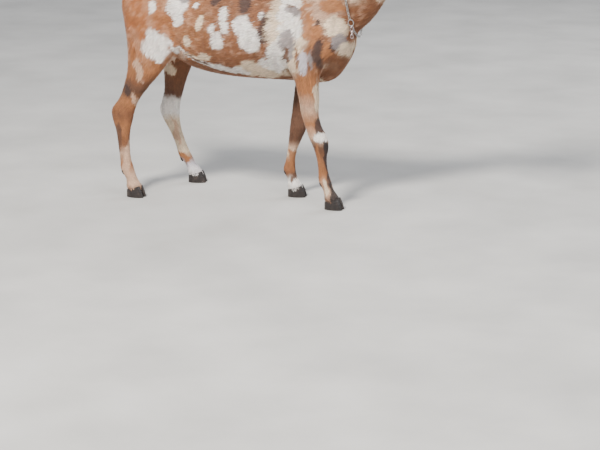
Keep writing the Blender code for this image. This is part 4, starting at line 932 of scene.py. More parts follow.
def markings(points, part_shares, normals):
    """The colour of skin and coat at each point."""
    x, y, z = points.T
    wide, fine = noise(points, 0.055, 1), noise(points, 0.012, 2)
    colour = directions(len(points), COLOURS["brown"]) * (0.92 + 0.20 * wide[:, None])

    def over(name, share):
        nonlocal colour
        share = np.clip(share, 0, 1)[:, None]
        colour = colour * (1 - share) + COLOURS[name] * share

    # The trunk's ground colours towards the rump and along the back, and painted shade under the belly
    over("tan", step(0.02, -0.20, x) * step(0.42, 0.50, z) * (0.65 + 0.35 * fine))
    over("orange", 0.8 * step(-0.12, -0.32, x) * step(0.42, 0.56, z) * (0.4 + 0.6 * wide))
    over("pinkish", 0.20 * step(-0.05, -0.25, x) * step(0.45, 0.62, noise(points * (1, 1, 0.4), 0.020, 12)))
    over("dark", 0.55 * step(0.738, 0.765, z) * step(0.034, 0.012, np.abs(y)) * step(0.30, 0.24, x))
    over("pinkish", 0.25 * step(0.50, 0.80, fine))
    # Painted shade: the underside of the belly is darkened towards brown
    belly_shade = step(0.455, 0.425, z) * step(-0.24, -0.16, x) * step(0.30, 0.20, x)
    over("brown", 0.5 * belly_shade)

    for part, colours in LEG_COLOURS.items():
        share = (step(0.25, 0.6, share_of(part_shares, part)) * step(0.50, 0.43, z))[:, None]
        level = z + 0.012 * (noise(points, 0.016, 5) - 0.5)
        tone = np.stack(between(level, [(height, *COLOURS[name]) for height, name in colours]), axis=1)
        colour = colour * (1 - share) + tone * share
    neck = step(0.3, 0.7, share_of(part_shares, "neck"))
    over("pinkish", 0.85 * neck * step(0.25, 0.45, noise(points, 0.07, 8)))
    over("cream", 0.75 * neck * step(0.40, 0.55, noise(points * (1.0, 1.0, 0.6), 0.045, 10)))
    over("brown", 0.8 * neck * step(0.55, 0.68, noise(points * (1.0, 1.0, 0.45), 0.032, 9)))
    head = share_of(part_shares, "head")
    over("tan", step(0.3, 0.8, head))
    streak = 0.5 * noise(points * (0.30, 1, 1), 0.006, 13) + 0.5 * noise(points * (1, 1, 0.30), 0.006, 14)
    colour = colour * (0.84 + 0.32 * streak[:, None])

    # The photo shows the right side's lower marks, so they keep nearer to their places than the others
    bend = noises(points, 0.032, 30) + 0.5 * noises(points, 0.015, 33)
    bend *= np.where((y > 0) | (z > 0.697), 0.034, 0.010)[:, None]
    for side, marks in ((-1, RIGHT_MARKS), (1, LEFT_MARKS)):
        for name, mx, mz, rx, rz, tilt, ragged in marks:
            reach = 3 * max(rx, rz) + 0.01
            near = (np.abs(x - mx) < reach) & (np.abs(z - mz) < reach) & (y * side > 0.004)
            if not near.any():
                continue
            p = points[near]
            dx, dz = p[:, 0] + bend[near, 0] - mx, p[:, 2] + bend[near, 2] - mz
            c, s = math.cos(math.radians(tilt)), math.sin(math.radians(tilt))
            away = np.hypot((dx * c + dz * s) / rx, (dz * c - dx * s) / rz)
            away += ragged * (noise(p, 0.010, 3) - 0.5) + 0.8 * ragged * (noise(p, 0.024, 4) - 0.5)
            share = np.zeros(len(points))
            share[near] = step(1.20, 0.84, away)
            over(name, 0.93 * share)
    local = in_head(points)
    for name, middle, radii, soft, strength in HEAD_MARKS:
        for side in mirrored(middle):
            away = np.linalg.norm((local - np.array(middle) * (1, side, 1)) / radii, axis=1)
            away += 0.35 * (noise(points, 0.012, 6) - 0.5)
            over(name, strength * step(1 + soft, 1 - soft, away) * step(0.3, 0.6, head))

    ears = share_of(part_shares, "ear_right", "ear_left")
    on_ear, hollow = step(0.4, 0.8, ears), hollow_of_ear(points, normals, ears)
    over("cream", on_ear)
    over("brown", 0.85 * on_ear * step(0.48, 0.62, noise(points + bend, 0.020, 7)))
    over("tan", 0.6 * on_ear * step(0.55, 0.70, noise(points, 0.007, 15)))
    over("pinkish", 0.75 * hollow)
    over("skin", 0.25 * hollow)
    over("pinkish", 0.9 * step(1.25, 0.95, udder_reach(points)))
    return np.clip(colour * (0.88 + 0.24 * fine[:, None]), 0, 1)


def hollow_of_ear(points, normals, ears):
    """1 on the inner side of the hanging ears, which faces the head, and 0 elsewhere."""
    out, left, up = EAR_OUT
    facing = normals[:, 0] * out + normals[:, 1] * np.sign(points[:, 1]) * left + normals[:, 2] * up
    return step(0.0, -0.3, facing) * step(0.4, 0.8, ears)


def udder_reach(points):
    """How far from the udder's middle points are: 1 is where its hair thins out."""
    return np.linalg.norm((points - UDDER_PLACE) / UDDER_ROUND, axis=1)


def thinned(points):
    """How much of its length and depth the hair keeps near the udder."""
    return 0.35 + 0.65 * step(0.75, 1.6, udder_reach(points))


def sunk_past(obj, point, normal, depth, blend):
    """Draws the skin in beyond a plane, so that a finer piece there covers it."""
    points = points_of(obj)
    share = step(0.0, blend, (points - np.asarray(point)) @ np.asarray(Vector(normal).normalized()))
    set_points(obj, points - normals_of(obj) * depth * share[:, None])


# The finer head and the body meet across this plane behind the jaw
HEAD_CUT = head_point(-0.010, -0.0935, 0.0)
HEAD_CUT_WAY = HEAD_V + 0.66 * HEAD_U

# Folds and small forms of the face, as HEAD_BRUSHES
FACE_BRUSHES = [
    ((0.088, 0.052, 0.0075), (0.020, 0.010, 0.0030), -0.0012),
    ((0.088, 0.050, 0.0120), (0.020, 0.010, 0.0040), 0.0014),
    ((0.100, 0.052, -0.0270), (0.020, 0.012, 0.0030), -0.0010),
    ((0.112, 0.046, -0.0230), (0.008, 0.010, 0.0040), -0.0016),
    ((0.170, 0.032, -0.0100), (0.050, 0.010, 0.0050), 0.0010),
    ((0.180, 0.034, -0.0400), (0.012, 0.012, 0.0080), -0.0012),
    ((0.190, 0.000, 0.0270), (0.040, 0.008, 0.0080), 0.0010),
    ((0.255, 0.000, -0.0300), (0.014, 0.0016, 0.0120), -0.0016),
    ((0.244, 0.014, -0.0360), (0.016, 0.012, 0.0040), 0.0010),
]

# Folds of skin, tendons and veins: middle on the left, radii, height
SKIN_BRUSHES = [
    ((0.168, 0.100, 0.500), (0.006, 0.040, 0.050), -0.0040),
    ((0.150, 0.105, 0.500), (0.008, 0.040, 0.050), 0.0030),
    ((-0.160, 0.090, 0.500), (0.010, 0.050, 0.040), 0.0050),
    ((-0.178, 0.085, 0.505), (0.007, 0.050, 0.040), -0.0040),
    ((-0.130, 0.100, 0.480), (0.024, 0.040, 0.006), 0.0035),
    ((-0.126, 0.100, 0.468), (0.024, 0.040, 0.005), -0.0030),
    ((-0.100, 0.110, 0.462), (0.030, 0.040, 0.005), 0.0025),
    *[((x, 0.135, 0.585), (0.0075, 0.060, 0.070), -0.0026)
      for x in (-0.09, -0.055, -0.02, 0.015, 0.05, 0.085, 0.12)],
    *[((x, 0.135, 0.585), (0.0090, 0.060, 0.075), 0.0020)
      for x in (-0.072, -0.037, -0.002, 0.033, 0.068, 0.103)],
    ((0.238, 0.085, 0.650), (0.009, 0.050, 0.070), 0.0035),
    ((0.216, 0.090, 0.650), (0.009, 0.050, 0.070), -0.0025),
    ((0.172, 0.100, 0.640), (0.012, 0.050, 0.090), -0.0035),
    ((0.350, 0.075, 0.560), (0.014, 0.040, 0.022), 0.0030),
    ((0.318, 0.085, 0.590), (0.007, 0.050, 0.050), -0.0025),
    ((0.355, 0.055, 0.620), (0.006, 0.050, 0.060), -0.0030),
    ((0.385, 0.040, 0.600), (0.010, 0.040, 0.060), 0.0020),
    ((-0.385, 0.030, 0.560), (0.008, 0.020, 0.080), 0.0020),
    ((-0.252, 0.110, 0.560), (0.009, 0.050, 0.060), -0.0025),
    ((-0.335, 0.100, 0.520), (0.008, 0.050, 0.070), -0.0025),
]


def tendons(obj):
    """A groove down each side of the cannon, between the bone and the tendons behind it."""
    points = points_of(obj)
    x, y, z = points.T
    move = np.zeros(len(points))
    for table in LEGS.values():
        middle_x, middle_y = between(z, [(row[2], row[0], row[1]) for row in table])
        near = (np.abs(x - middle_x) < 0.05) & (np.abs(y - middle_y) < 0.04)
        level = step(0.085, 0.110, z) * step(0.245, 0.205, z)
        move += near * level * np.exp(-(((x - middle_x + 0.006) / 0.0035) ** 2))
    set_points(obj, points - normals_of(obj) * 0.0018 * move[:, None])


def quads(*corners):
    """Faces from four equal blocks of point numbers."""
    return np.stack(corners, axis=-1).reshape(-1, 4).tolist()


def ear_sheet(side, rings=64, across=29):
    """A hanging ear as a thin shell, rolled at its root, with a ribbed hollow and a slightly wavy edge."""
    t = spline([(*p, b, math.radians(c)) for p, b, c in zip(EAR_LINE, EAR_HALF_WIDTH, EAR_CURL)], rings)
    line = np.array(head_place(EAR_ROOT)) + t[:, :3]
    along = unit(np.gradient(line, axis=0))
    outward = directions(rings, EAR_OUT)
    outward = unit(outward - np.sum(outward * along, axis=1)[:, None] * along)
    wide = np.cross(along, outward)
    share = np.linspace(-1, 1, across)
    angle = t[:, 4:5] * share
    radius = (t[:, 3] / t[:, 4])[:, None]
    normal = outward[:, None, :] * np.cos(angle)[..., None] + wide[:, None, :] * np.sin(angle)[..., None]
    middle = line[:, None, :] + (normal - outward[:, None, :]) * radius[..., None]
    level = np.linspace(0, 1, rings)[:, None]
    wave = 0.0011 * np.sin(level * 31 + share * 2.0) * np.abs(share) ** 3 * step(0.15, 0.4, level)
    middle = middle + normal * wave[..., None]
    thick = np.linspace(1.0, 0.55, rings)[:, None] * (1 - 0.55 * share**2) * EAR_THICKNESS / 2 - 0.0003
    ribs = 0.0004 * np.cos(share * 14.0) * np.exp(-((share / 0.7) ** 2)) * step(0.05, 0.25, level)
    outer = middle + normal * thick[..., None]
    inner = middle - normal * (thick + ribs)[..., None]
    points = np.concatenate([outer.reshape(-1, 3), inner.reshape(-1, 3)])
    points[:, 1] *= side
    number = np.arange(2 * rings * across).reshape(2, rings, across)
    faces = []
    for sheet in number:
        faces += quads(sheet[:-1, :-1], sheet[:-1, 1:], sheet[1:, 1:], sheet[1:, :-1])
    edges = [number[:, :, j] for j in (0, across - 1)] + [number[:, i] for i in (0, rings - 1)]
    for one, other in edges:
        faces += quads(one[:-1], one[1:], other[1:], other[:-1])
    return mesh_object("ear_sheet", points, faces)


def finer(obj, zones):
    """Splits the faces inside each zone (middle, radius) into four."""
    made = bmesh.new()
    made.from_mesh(obj.data)
    for middle, radius in zones:
        edges = [e for e in made.edges if (e.verts[0].co - middle).length < radius
                 and (e.verts[1].co - middle).length < radius]
        bmesh.ops.subdivide_edges(made, edges=edges, cuts=1, use_grid_fill=True)
    bmesh.ops.triangulate(made, faces=made.faces)
    made.to_mesh(obj.data)
    made.free()


def whole_skin():
    """The skin of the whole goat as one closed surface, with sockets, lids, mouth, nostrils and ears."""
    limbs = [leg(name, table) for name, table in LEGS.items()]
    whole_neck = ridge("whole_neck", NECK, 40, 40, *NECK_PINCH)
    tail = ridge("tail_loft", TAIL, 24, 20, *TAIL_PINCH)
    body = flesh("body", [trunk(), whole_neck, tail, head_loft(), *udder(), *limbs], BODY_VOXEL, SOFT_ZONES)
    press(body, BODY_BRUSHES)
    sunk_past(body, HEAD_CUT, HEAD_CUT_WAY, 0.007, 0.012)

    eyes = [head_place(EYE_PLACE, side) for side in (1, -1)]
    lids = [ball("lids", eye, (EYE_RADIUS + LID,) * 3, 48, 32) for eye in eyes]
    upper_neck = ridge("upper_neck", NECK[3:], 30, 40, *NECK_PINCH)
    zones = [SOFT_ZONES[-2], *[(eye, 0.030, 0.0035) for eye in eyes]]
    face = flesh("face", [head_loft(), upper_neck, *lids], HEAD_VOXEL, zones)
    press(face, HEAD_BRUSHES, (HEAD_U, HEAD_W, HEAD_V), POLL)
    sunk_past(face, HEAD_CUT, -HEAD_CUT_WAY, 0.007, 0.020)

    skin = one_skin(joined("skin", [body, face]), SKIN_VOXEL)
    relax(skin, [((0.590, 0.0, 0.985), 0.10, 0.004)], SKIN_VOXEL)
    points = points_of(skin)
    group = skin.vertex_groups.new(name="coarse")
    ahead = (points - np.asarray(HEAD_CUT)) @ np.asarray(HEAD_CUT_WAY.normalized())
    for number in np.nonzero(ahead < 0.0)[0].tolist():
        group.add([number], 1.0, "REPLACE")
    skin.data.calc_loop_triangles()
    fewer = skin.modifiers.new("fewer", "DECIMATE")
    fewer.ratio = SKIN_TRIANGLES / len(skin.data.loop_triangles)
    fewer.vertex_group = "coarse"
    apply_modifiers(skin)
    skin.vertex_groups.clear()
    press(skin, SKIN_BRUSHES)
    nose = head_point(0.235, -0.030, 0.0)
    finer(skin, [(nose, 0.055), *[(eye, 0.030) for eye in eyes]])
    press(skin, FACE_BRUSHES, (HEAD_U, HEAD_W, HEAD_V), POLL)
    depths = blended(points_of(skin))[2]
    set_points(skin, points_of(skin) - normals_of(skin) * depths[:, None])
    tendons(skin)
    holes = [mouth_cut(skin)]
    for side, eye in zip((1, -1), eyes):
        holes += [ball("socket", eye, (EYE_RADIUS + GAP,) * 3, 48, 32), lid_opening(side, eye)]
        holes.append(nostril(skin, side))
    cut(skin, holes, "DIFFERENCE")
    cut(skin, [ear_sheet(1), ear_sheet(-1)], "UNION")
    for side in (1, -1):
        relax(skin, [(head_place(EAR_ROOT, side), 0.028, 0.004)], 0.002)
    return skin


def triangles_of(obj):
    obj.data.calc_loop_triangles()
    corners = np.empty(len(obj.data.loop_triangles) * 3, int)
    obj.data.loop_triangles.foreach_get("vertices", corners)
    return corners.reshape(-1, 3)


def coat_colour(obj, colours):
    layer = obj.data.color_attributes.new("coat", "FLOAT_COLOR", "POINT")
    rows = np.concatenate([colours, np.ones((len(colours), 1))], axis=1)
    layer.data.foreach_set("color", rows.ravel())


def unwrapped(points, part):
    """Places on a plan of the body: each part is a panel, unrolled along its length and round it."""
    place = np.zeros((len(points), 2))
    for number, name in enumerate(PARTS):
        mine = part == number
        rows = ANCHORS[ANCHORS[:, 9] == number]
        first, last = rows[0, :3], rows[-1, :3]
        axis = (last - first) / np.linalg.norm(last - first)
        beside = np.cross(axis, (0.0, 1.0, 0.0))
        beside /= np.linalg.norm(beside)
        p = points[mine]
        nearest = rows[np.argmin([np.sum((p - row[:3]) ** 2, axis=1) for row in rows], axis=0), :3]
        off = p - nearest
        turn = np.arctan2(off @ np.cross(axis, beside), off @ beside) / (2 * math.pi) + 0.5
        span = np.ptp(rows[:, :3] @ axis) + 0.12
        level = ((p - first) @ axis + 0.06) / span
        left, low, wide, high = PANELS[name]
        place[mine, 0] = left + wide * np.clip(level, 0.01, 0.99)
        place[mine, 1] = low + high * np.clip(turn, 0.01, 0.99)
    return place


# Where each part's panel lies on the plan: left, bottom, width, height
PANELS = {
    "trunk": (0.00, 0.50, 0.62, 0.50),
    "neck": (0.62, 0.66, 0.38, 0.34),
    "head": (0.62, 0.32, 0.38, 0.34),
    "tail": (0.00, 0.40, 0.20, 0.10),
    "foreleg_right": (0.00, 0.20, 0.31, 0.20),
    "foreleg_left": (0.31, 0.20, 0.31, 0.20),
    "hind_leg_right": (0.00, 0.00, 0.31, 0.20),
    "hind_leg_left": (0.31, 0.00, 0.31, 0.20),
    "ear_right": (0.62, 0.16, 0.38, 0.16),
    "ear_left": (0.62, 0.00, 0.38, 0.16),
}
# Size of a tuft on the plan
PATCH = 0.003
# Share of the skin's area that the tufts cover, and width as a share of length, by part
COVER = {"trunk": (1.42, 0.115), "neck": (1.40, 0.115), "head": (0.80, 0.17), "tail": (4.0, 0.055),
         "ear": (0.68, 0.16), "leg": (0.85, 0.14)}
# Most tufts in one piece
TUFT_LIMIT = 19000
# Tufts of the smooth head and ears, and those elsewhere: height as a share of the width, spread of their
# tones, how far their shading keeps to the skin's, and how much they lighten from root to tip, as painted
# shade at the root and painted light at the tip
SMOOTH, SHAGGY = (0.22, 0.14, 0.80, 0.35), (0.35, 0.36, 0.45, 1.0)
TUFT_HEIGHT = 0.0007
# This share of the tail's tufts stand straight off, and so do those whose roots are lower than LOW_ROOT
STRAY_SHARE = 0.6
LOW_ROOT = 0.047
# No hair this close to the mouth's line
LIP_WIDTH = 0.0034
# Middle and radii of the bare skin round the left nostril and between the nostrils, in the head's frame
BARE_NOSE = (((0.266, 0.017, -0.012), (0.010, 0.008, 0.010)), ((0.272, 0.0, -0.030), (0.008, 0.007, 0.016)))
# Corners of a tuft: share of its length, share across (-1 to 1), share of its height
TUFT_POINTS = [(0, -0.7, 0), (0, 0.7, 0), (0, 0, 1), (0.5, -1, 0), (0.5, 1, 0), (0.5, 0, 1), (1, 0, 0.3)]
TUFT_FACES = [(0, 2, 1), (0, 1, 4), (0, 4, 3), (1, 2, 5), (1, 5, 4), (2, 0, 3), (2, 3, 5), (3, 4, 6),
              (4, 5, 6), (5, 3, 6)]


def bare(points):
    """Where there is no hair: the eye's opening, the nose, the lips and the udder."""
    local = in_head(points)
    nude = np.zeros(len(points), bool)
    for side in (1, -1):
        nude |= np.linalg.norm(local - np.array(EYE_PLACE) * (1, side, 1), axis=1) < EYE_RADIUS + 0.0012
        for middle, radii in BARE_NOSE:
            nude |= np.linalg.norm((local - np.array(middle) * (1, side, 1)) / radii, axis=1) < 1
    near = np.nonzero(local[:, 0] > 0.15)[0]
    gap = np.full(len(near), 1.0)
    for place in LIPS:
        gap = np.minimum(gap, np.linalg.norm(points[near] - np.array(place), axis=1))
    nude[near] |= gap < LIP_WIDTH
    nude |= udder_reach(points) < 0.7 + 0.5 * noise(points, 0.004, 16)
    return nude


def tufts(skin):
    """Root, skin's normal, way, length, width and depth of every tuft, its part, and each part's share."""
    points, corners = points_of(skin), triangles_of(skin)
    a, b, c = (points[corners[:, i]] for i in range(3))
    cross = np.cross(b - a, c - a)
    area = np.linalg.norm(cross, axis=1) / 2
    middle = (a + b + c) / 3
    _, length, _, part, _ = blended(middle)
    length = length * thinned(middle)
    keys = ["ear" if "ear" in name else "leg" if "leg" in name else name for name in PARTS]
    cover, slim = np.array([COVER[key] for key in keys])[part].T
    density = cover / (0.55 * length * length * slim)
    normals = cross / (2 * area[:, None] + 1e-12)
    ears = np.isin(part, (PARTS.index("ear_right"), PARTS.index("ear_left"))) * 1.0
    wanted = area * density * ~bare(middle) * (1 - 0.6 * hollow_of_ear(middle, normals, ears))
    count = int(wanted.sum())
    pick = np.sort(random.choice(len(wanted), count, p=wanted / wanted.sum()))
    r1, r2 = np.sqrt(random.random(count))[:, None], random.random(count)[:, None]
    root = a[pick] * (1 - r1) + b[pick] * r1 * (1 - r2) + c[pick] * r1 * r2
    normal = normals[pick]
    way, length, depth, part, shares = blended(root)
    way = way + 0.30 * noises(root, 0.05, 20)
    way += 0.22 * (random.random((count, 3)) - 0.5)
    way -= np.sum(way * normal, axis=1)[:, None] * normal
    way /= np.linalg.norm(way, axis=1)[:, None] + 1e-9
    thin = thinned(root)
    length = length * thin * (0.72 + 0.56 * random.random(count))
    depth = depth * thin
    width = length * slim[pick] * (0.8 + 0.4 * random.random(count))
    return root, normal, way, length, width, depth, part, shares


def coat_pieces(skin):
    """The whole coat, as one or more pieces to a part."""
    root, normal, way, length, width, depth, part, shares = tufts(skin)
    tree = tree_of(skin)
    count = len(root)
    lift = depth * (0.40 + 0.50 * random.random(count))

    # Where a tuft's root, middle and tip stand on the skin, and the skin's normal there
    rise = {0: (root - normal * 0.0004, normal)}
    for share in (0.5, 1):
        aim = root + way * (length * share)[:, None]
        at, up = np.empty((count, 3)), np.empty((count, 3))
        for i, point in enumerate(aim.tolist()):
            at[i], up[i], _, _ = tree.find_nearest(point)
        rise[share] = (at, up)
    stray = (part == PARTS.index("tail")) & (random.random(count) < STRAY_SHARE)
    low = (root[:, 2] < LOW_ROOT) & (normal[:, 2] < 0.5)
    free = stray | low
    for share in (0.5, 1):
        at, up = rise[share]
        lean = np.where(low, 0.28, 0.10) * length * share
        at[free] = (root + way * (length * share)[:, None] + normal * lean[:, None])[free]
        up[free] = normal[free]

    side = np.cross(normal, way)
    smooth = np.isin(part, [PARTS.index(name) for name in ("head", "ear_right", "ear_left")])
    flat, spread, even = (np.where(smooth, *both) for both in list(zip(SMOOTH, SHAGGY))[:3])
    height = np.minimum(TUFT_HEIGHT, width * flat)
    corners = np.zeros((count, len(TUFT_POINTS), 3))
    facing = np.zeros_like(corners)
    for k, (share, across, high) in enumerate(TUFT_POINTS):
        at, up = rise[share]
        level = 0.0 if share == 0 else lift * (1.0 if share < 1 else 0.5)
        corners[:, k] = at + side * (across * width / 2)[:, None] + up * (level + high * height)[:, None]
        rounded = unit(side * across * 0.9 + up * (0.5 + 0.5 * high))
        facing[:, k] = up * even[:, None] + rounded * (1 - even[:, None])
    tone = markings(root, shares, normal) * (1 + spread * (random.random(count) - 0.5))[:, None]
    tone = tone * (0.96 + 0.08 * random.random((count, 3)))
    plan = unwrapped(root, part)

    pieces = []
    for number, name in enumerate(PARTS):
        mine = np.nonzero(part == number)[0]
        mine = mine[np.argsort(root[mine, 0])]
        blocks = max(1, math.ceil(len(mine) / TUFT_LIMIT))
        for block, chosen in enumerate(np.array_split(mine, blocks)):
            label = "coat_" + ("body" if name == "trunk" else name) + (f"_{block + 1}" if blocks > 1 else "")
            contrast = (SMOOTH if smooth[chosen[0]] else SHAGGY)[3]
            rows = (values[chosen] for values in (corners, facing, tone, plan))
            pieces.append(tuft_mesh(label, *rows, contrast))
    return pieces


def tuft_mesh(name, corners, facing, tone, plan, contrast):
    count, per = len(corners), len(TUFT_POINTS)
    faces = (np.arange(count)[:, None, None] * per + np.array(TUFT_FACES)).reshape(-1, 3)
    mesh = bpy.data.meshes.new(name)
    mesh.vertices.add(count * per)
    mesh.vertices.foreach_set("co", corners.ravel())
    mesh.loops.add(faces.size)
    mesh.loops.foreach_set("vertex_index", faces.ravel())
    mesh.polygons.add(len(faces))
    mesh.polygons.foreach_set("loop_start", np.arange(len(faces)) * 3)
    mesh.update(calc_edges=True)
    obj = shown(name, mesh)
    # Painted shade darkens each tuft's root and painted light brightens its tip
    root_shade_tip_light = {0: -0.14, 0.5: 0, 1: 0.08}
    gain = 1 + contrast * np.array([root_shade_tip_light[share] for share, _, _ in TUFT_POINTS])
    coat_colour(obj, np.clip(tone[:, None, :] * gain[:, None], 0, 1).reshape(-1, 3))
    layer = mesh.uv_layers.new(name="OFBake")
    spread = np.array([(share - 0.5, across * 0.4) for share, across, _ in TUFT_POINTS]) * PATCH
    places = plan[:, None, :] + spread
    layer.data.foreach_set("uv", places.reshape(-1, 2)[faces.ravel()].ravel())
    mesh.shade_smooth()
    facing = facing / (np.linalg.norm(facing, axis=2)[..., None] + 1e-9)
    mesh.normals_split_custom_set_from_vertices(facing.reshape(-1, 3).tolist())
    return obj


# Materials

class Paint:
    """A material, with what builds and joins its nodes."""

    def __init__(self, name, colour, roughness, more=()):
        self.made = bpy.data.materials.new(name)
        self.made.use_nodes = True
        self.nodes, self.links = self.made.node_tree.nodes, self.made.node_tree.links
        self.shader = self.nodes["Principled BSDF"]
        self.fill(self.shader, {"Base Color": (*colour, 1.0), "Roughness": roughness, **dict(more)})

    def fill(self, node, inputs):
        """Sets each input to a value, or links it to another node's output."""
        for key, value in inputs.items():
            if isinstance(value, bpy.types.NodeSocket):
                self.links.new(value, node.inputs[key])
            else:
                node.inputs[key].default_value = value

    def node(self, kind, inputs, output, **settings):
        made = self.nodes.new("ShaderNode" + kind)
        for key, value in settings.items():
            setattr(made, key, value)
        self.fill(made, inputs)
        return made.outputs[output]

    def noise(self, scale, detail, stretch=(1, 1, 1)):
        place = self.node("TexCoord", {}, "Object")
        place = self.node("Mapping", {"Vector": place, "Scale": stretch}, "Vector")
        return self.node("TexNoise", {"Vector": place, "Scale": scale, "Detail": detail}, "Fac")

    def ramp(self, value, *stops):
        made = self.node("ValToRGB", {"Fac": value}, "Color")
        elements = made.node.color_ramp.elements
        while len(elements) < len(stops):
            elements.new(0.5)
        for element, (at, colour) in zip(elements, stops):
            element.position = at
            element.color = (*colour, 1.0)
        return made

    def times(self, first, second):
        inputs = {"Factor": 1.0, "A": first, "B": second}
        return self.node("Mix", inputs, "Result", data_type="RGBA", blend_type="MULTIPLY")

    def math(self, operation, *values):
        return self.node("Math", dict(enumerate(values)), 0, operation=operation)

    def finished(self, colour, height=None, distance=0.0, strength=1.0):
        """The material, with its colour and, where a height is given, its bumps."""
        self.fill(self.shader, {"Base Color": colour})
        if height:
            inputs = {"Distance": distance, "Strength": strength, "Height": height}
            self.fill(self.shader, {"Normal": self.node("Bump", inputs, "Normal")})
        return self.made


def coat_material(name, roughness, grain, depth):
    paint = Paint(name, (0.4, 0.25, 0.15), roughness,
                  {"Sheen Weight": 0.15, "Sheen Roughness": 0.5, "IOR": 1.45})
    fine = paint.noise(grain, 4.0)
    tone = paint.ramp(fine, (0.30, (0.78,) * 3), (0.70, (1.0,) * 3))
    coat = paint.node("Attribute", {}, "Color", attribute_name="coat")
    return paint.finished(paint.times(coat, tone), fine, depth)


def horn_material():
    paint = Paint("hoof_horn", (0.05, 0.04, 0.04), 0.42)
    bands_of_growth = paint.noise(26.0, 2.0, (1, 1, 9))
    streaks = paint.noise(55.0, 4.0, (1.6, 1.6, 0.9))
    base = paint.ramp(streaks, (0.30, shade(28, 23, 22)), (0.60, shade(46, 38, 35)),
                      (0.80, shade(80, 67, 59)))
    tone = paint.ramp(bands_of_growth, (0.35, (0.90,) * 3), (0.65, (1.0,) * 3))
    return paint.finished(paint.times(base, tone), bands_of_growth, 0.0004, 0.5)


def steel_material(name, tint, roughness):
    paint = Paint(name, tint, roughness, {"Metallic": 1.0})
    wear = paint.noise(160.0, 4.0)
    tone = paint.ramp(wear, (0.35, tuple(0.55 * c for c in tint)), (0.65, tint))
    return paint.finished(tone, wear, 0.0003, 0.5)


def eye_material():
    """Amber iris with a level, bar-shaped pupil; the attribute look holds each point's place on the eye."""
    paint = Paint("goat_eye", (0.4, 0.25, 0.05), 0.12,
                  {"Coat Weight": 1.0, "Coat Roughness": 0.02, "IOR": 1.40})
    x = paint.node("SeparateXYZ", {0: paint.node("Attribute", {}, "Vector", attribute_name="look")}, 0)
    y = x.node.outputs[1]
    xx, yy = paint.math("MULTIPLY", x, x), paint.math("MULTIPLY", y, y)
    away = paint.math("SQRT", paint.math("ADD", xx, yy))
    turn = paint.math("MULTIPLY", paint.math("ARCTAN2", y, x), 9.0)
    vector = paint.node("CombineXYZ", {0: turn, 1: paint.math("MULTIPLY", away, 2.5)}, 0)
    spokes = paint.node("TexNoise", {"Vector": vector, "Scale": 1.0, "Detail": 3.0}, "Fac")
    iris = paint.ramp(spokes, (0.32, shade(126, 84, 30)), (0.68, shade(206, 158, 76)))
    rim = paint.ramp(away, (0.50, (1, 1, 1)), (0.66, (0.22, 0.18, 0.16)), (0.74, (0.08, 0.06, 0.06)))
    bar = [paint.math("POWER", paint.math("DIVIDE", square, half**2), 2.0)
           for square, half in zip((xx, yy), PUPIL)]
    pupil = paint.ramp(paint.math("ADD", *bar), (0.75, (0.006, 0.006, 0.010)), (1.0, (1, 1, 1)))
    return paint.finished(paint.times(paint.times(iris, rim), pupil))


def plain_material(name, colour, roughness, grain):
    paint = Paint(name, colour, roughness)
    fine = paint.noise(grain, 4.0)
    tone = paint.ramp(fine, (0.3, tuple(0.8 * c for c in colour)), (0.7, colour))
    return paint.finished(tone, fine, 0.0002, 0.4)


# Separate pieces

def eyeball(side):
    """The eye with its clear bulge; each point's place across the front is kept for the material."""
    place = head_place(EYE_PLACE, side)
    _, _, out = eye_frame(side)
    obj = ball("eyeball", place, (EYE_RADIUS,) * 3, 64, 40)
    level = Vector((0, 0, 1)).cross(out).normalized()
    high = out.cross(level)
    points = points_of(obj) - np.asarray(place)
    local = points @ np.array((level, high, out)).T / EYE_RADIUS
    across = np.hypot(local[:, 0], local[:, 1])
    bulge = np.where(local[:, 2] > 0, 0.07 * np.exp(-((across / 0.5) ** 2)), 0.0)
    set_points(obj, np.asarray(place) + points * (1 + bulge[:, None]))
    layer = obj.data.attributes.new("look", "FLOAT_VECTOR", "POINT")
    behind = np.where(local[:, 2:] > 0, 1.0, 3.0)
    layer.data.foreach_set("vector", (local * behind).ravel())
    obj.data.shade_smooth()
    return obj


def fine_claw(hoof, side, corners=48, levels=40):
    """One claw with growth rings, a worn edge and a flat sole."""
    x, y, turn = HOOVES[hoof]
    angle = np.arange(corners) * 2 * math.pi / corners
    ahead, out = np.cos(angle), np.sin(angle)
    points = []
    for height in np.concatenate([[0.0, 0.035], np.linspace(0.09, 1.0, levels - 2)]):
        front, width = between(height, CLAW_RINGS)
        ripple = 0.00018 * math.sin(height * 27) * (height > 0.08) * np.clip(ahead + 0.9, 0, 1)
        reach = HOOF_TOP_FRONT + (HOOF_SOLE_FRONT - HOOF_TOP_FRONT) * front + ripple
        along = np.where(ahead > 0, ahead * reach, ahead * (HOOF_BACK + ripple))
        narrow = 1 - CLAW_POINT * np.clip(ahead, 0, 1) ** 2 * front
        across = CLEFT / 2 + CLAW_WIDTH * width * (0.42 + np.where(out > 0, 0.58, 0.42) * out * narrow)
        across += ripple * out
        level = height * (CORONET_HEIGHT + CORONET_SLOPE * along - GAP / 2)
        points.append(np.stack([along, side * across, level], axis=1))
    points = np.concatenate(points)
    c, s = math.cos(turn), math.sin(turn)
    points[:, :2] = points[:, :2] @ np.array([[c, s], [-s, c]])
    points[:, :2] += (x, y)
    sole, top = tuple(range(corners)), tuple(range((levels - 1) * corners, levels * corners))
    made = mesh_object("claw", points, [sole, top, *bands(levels, corners)])
    made.data.shade_smooth()
    made.data.set_sharp_from_angle(angle=math.radians(50))
    return made


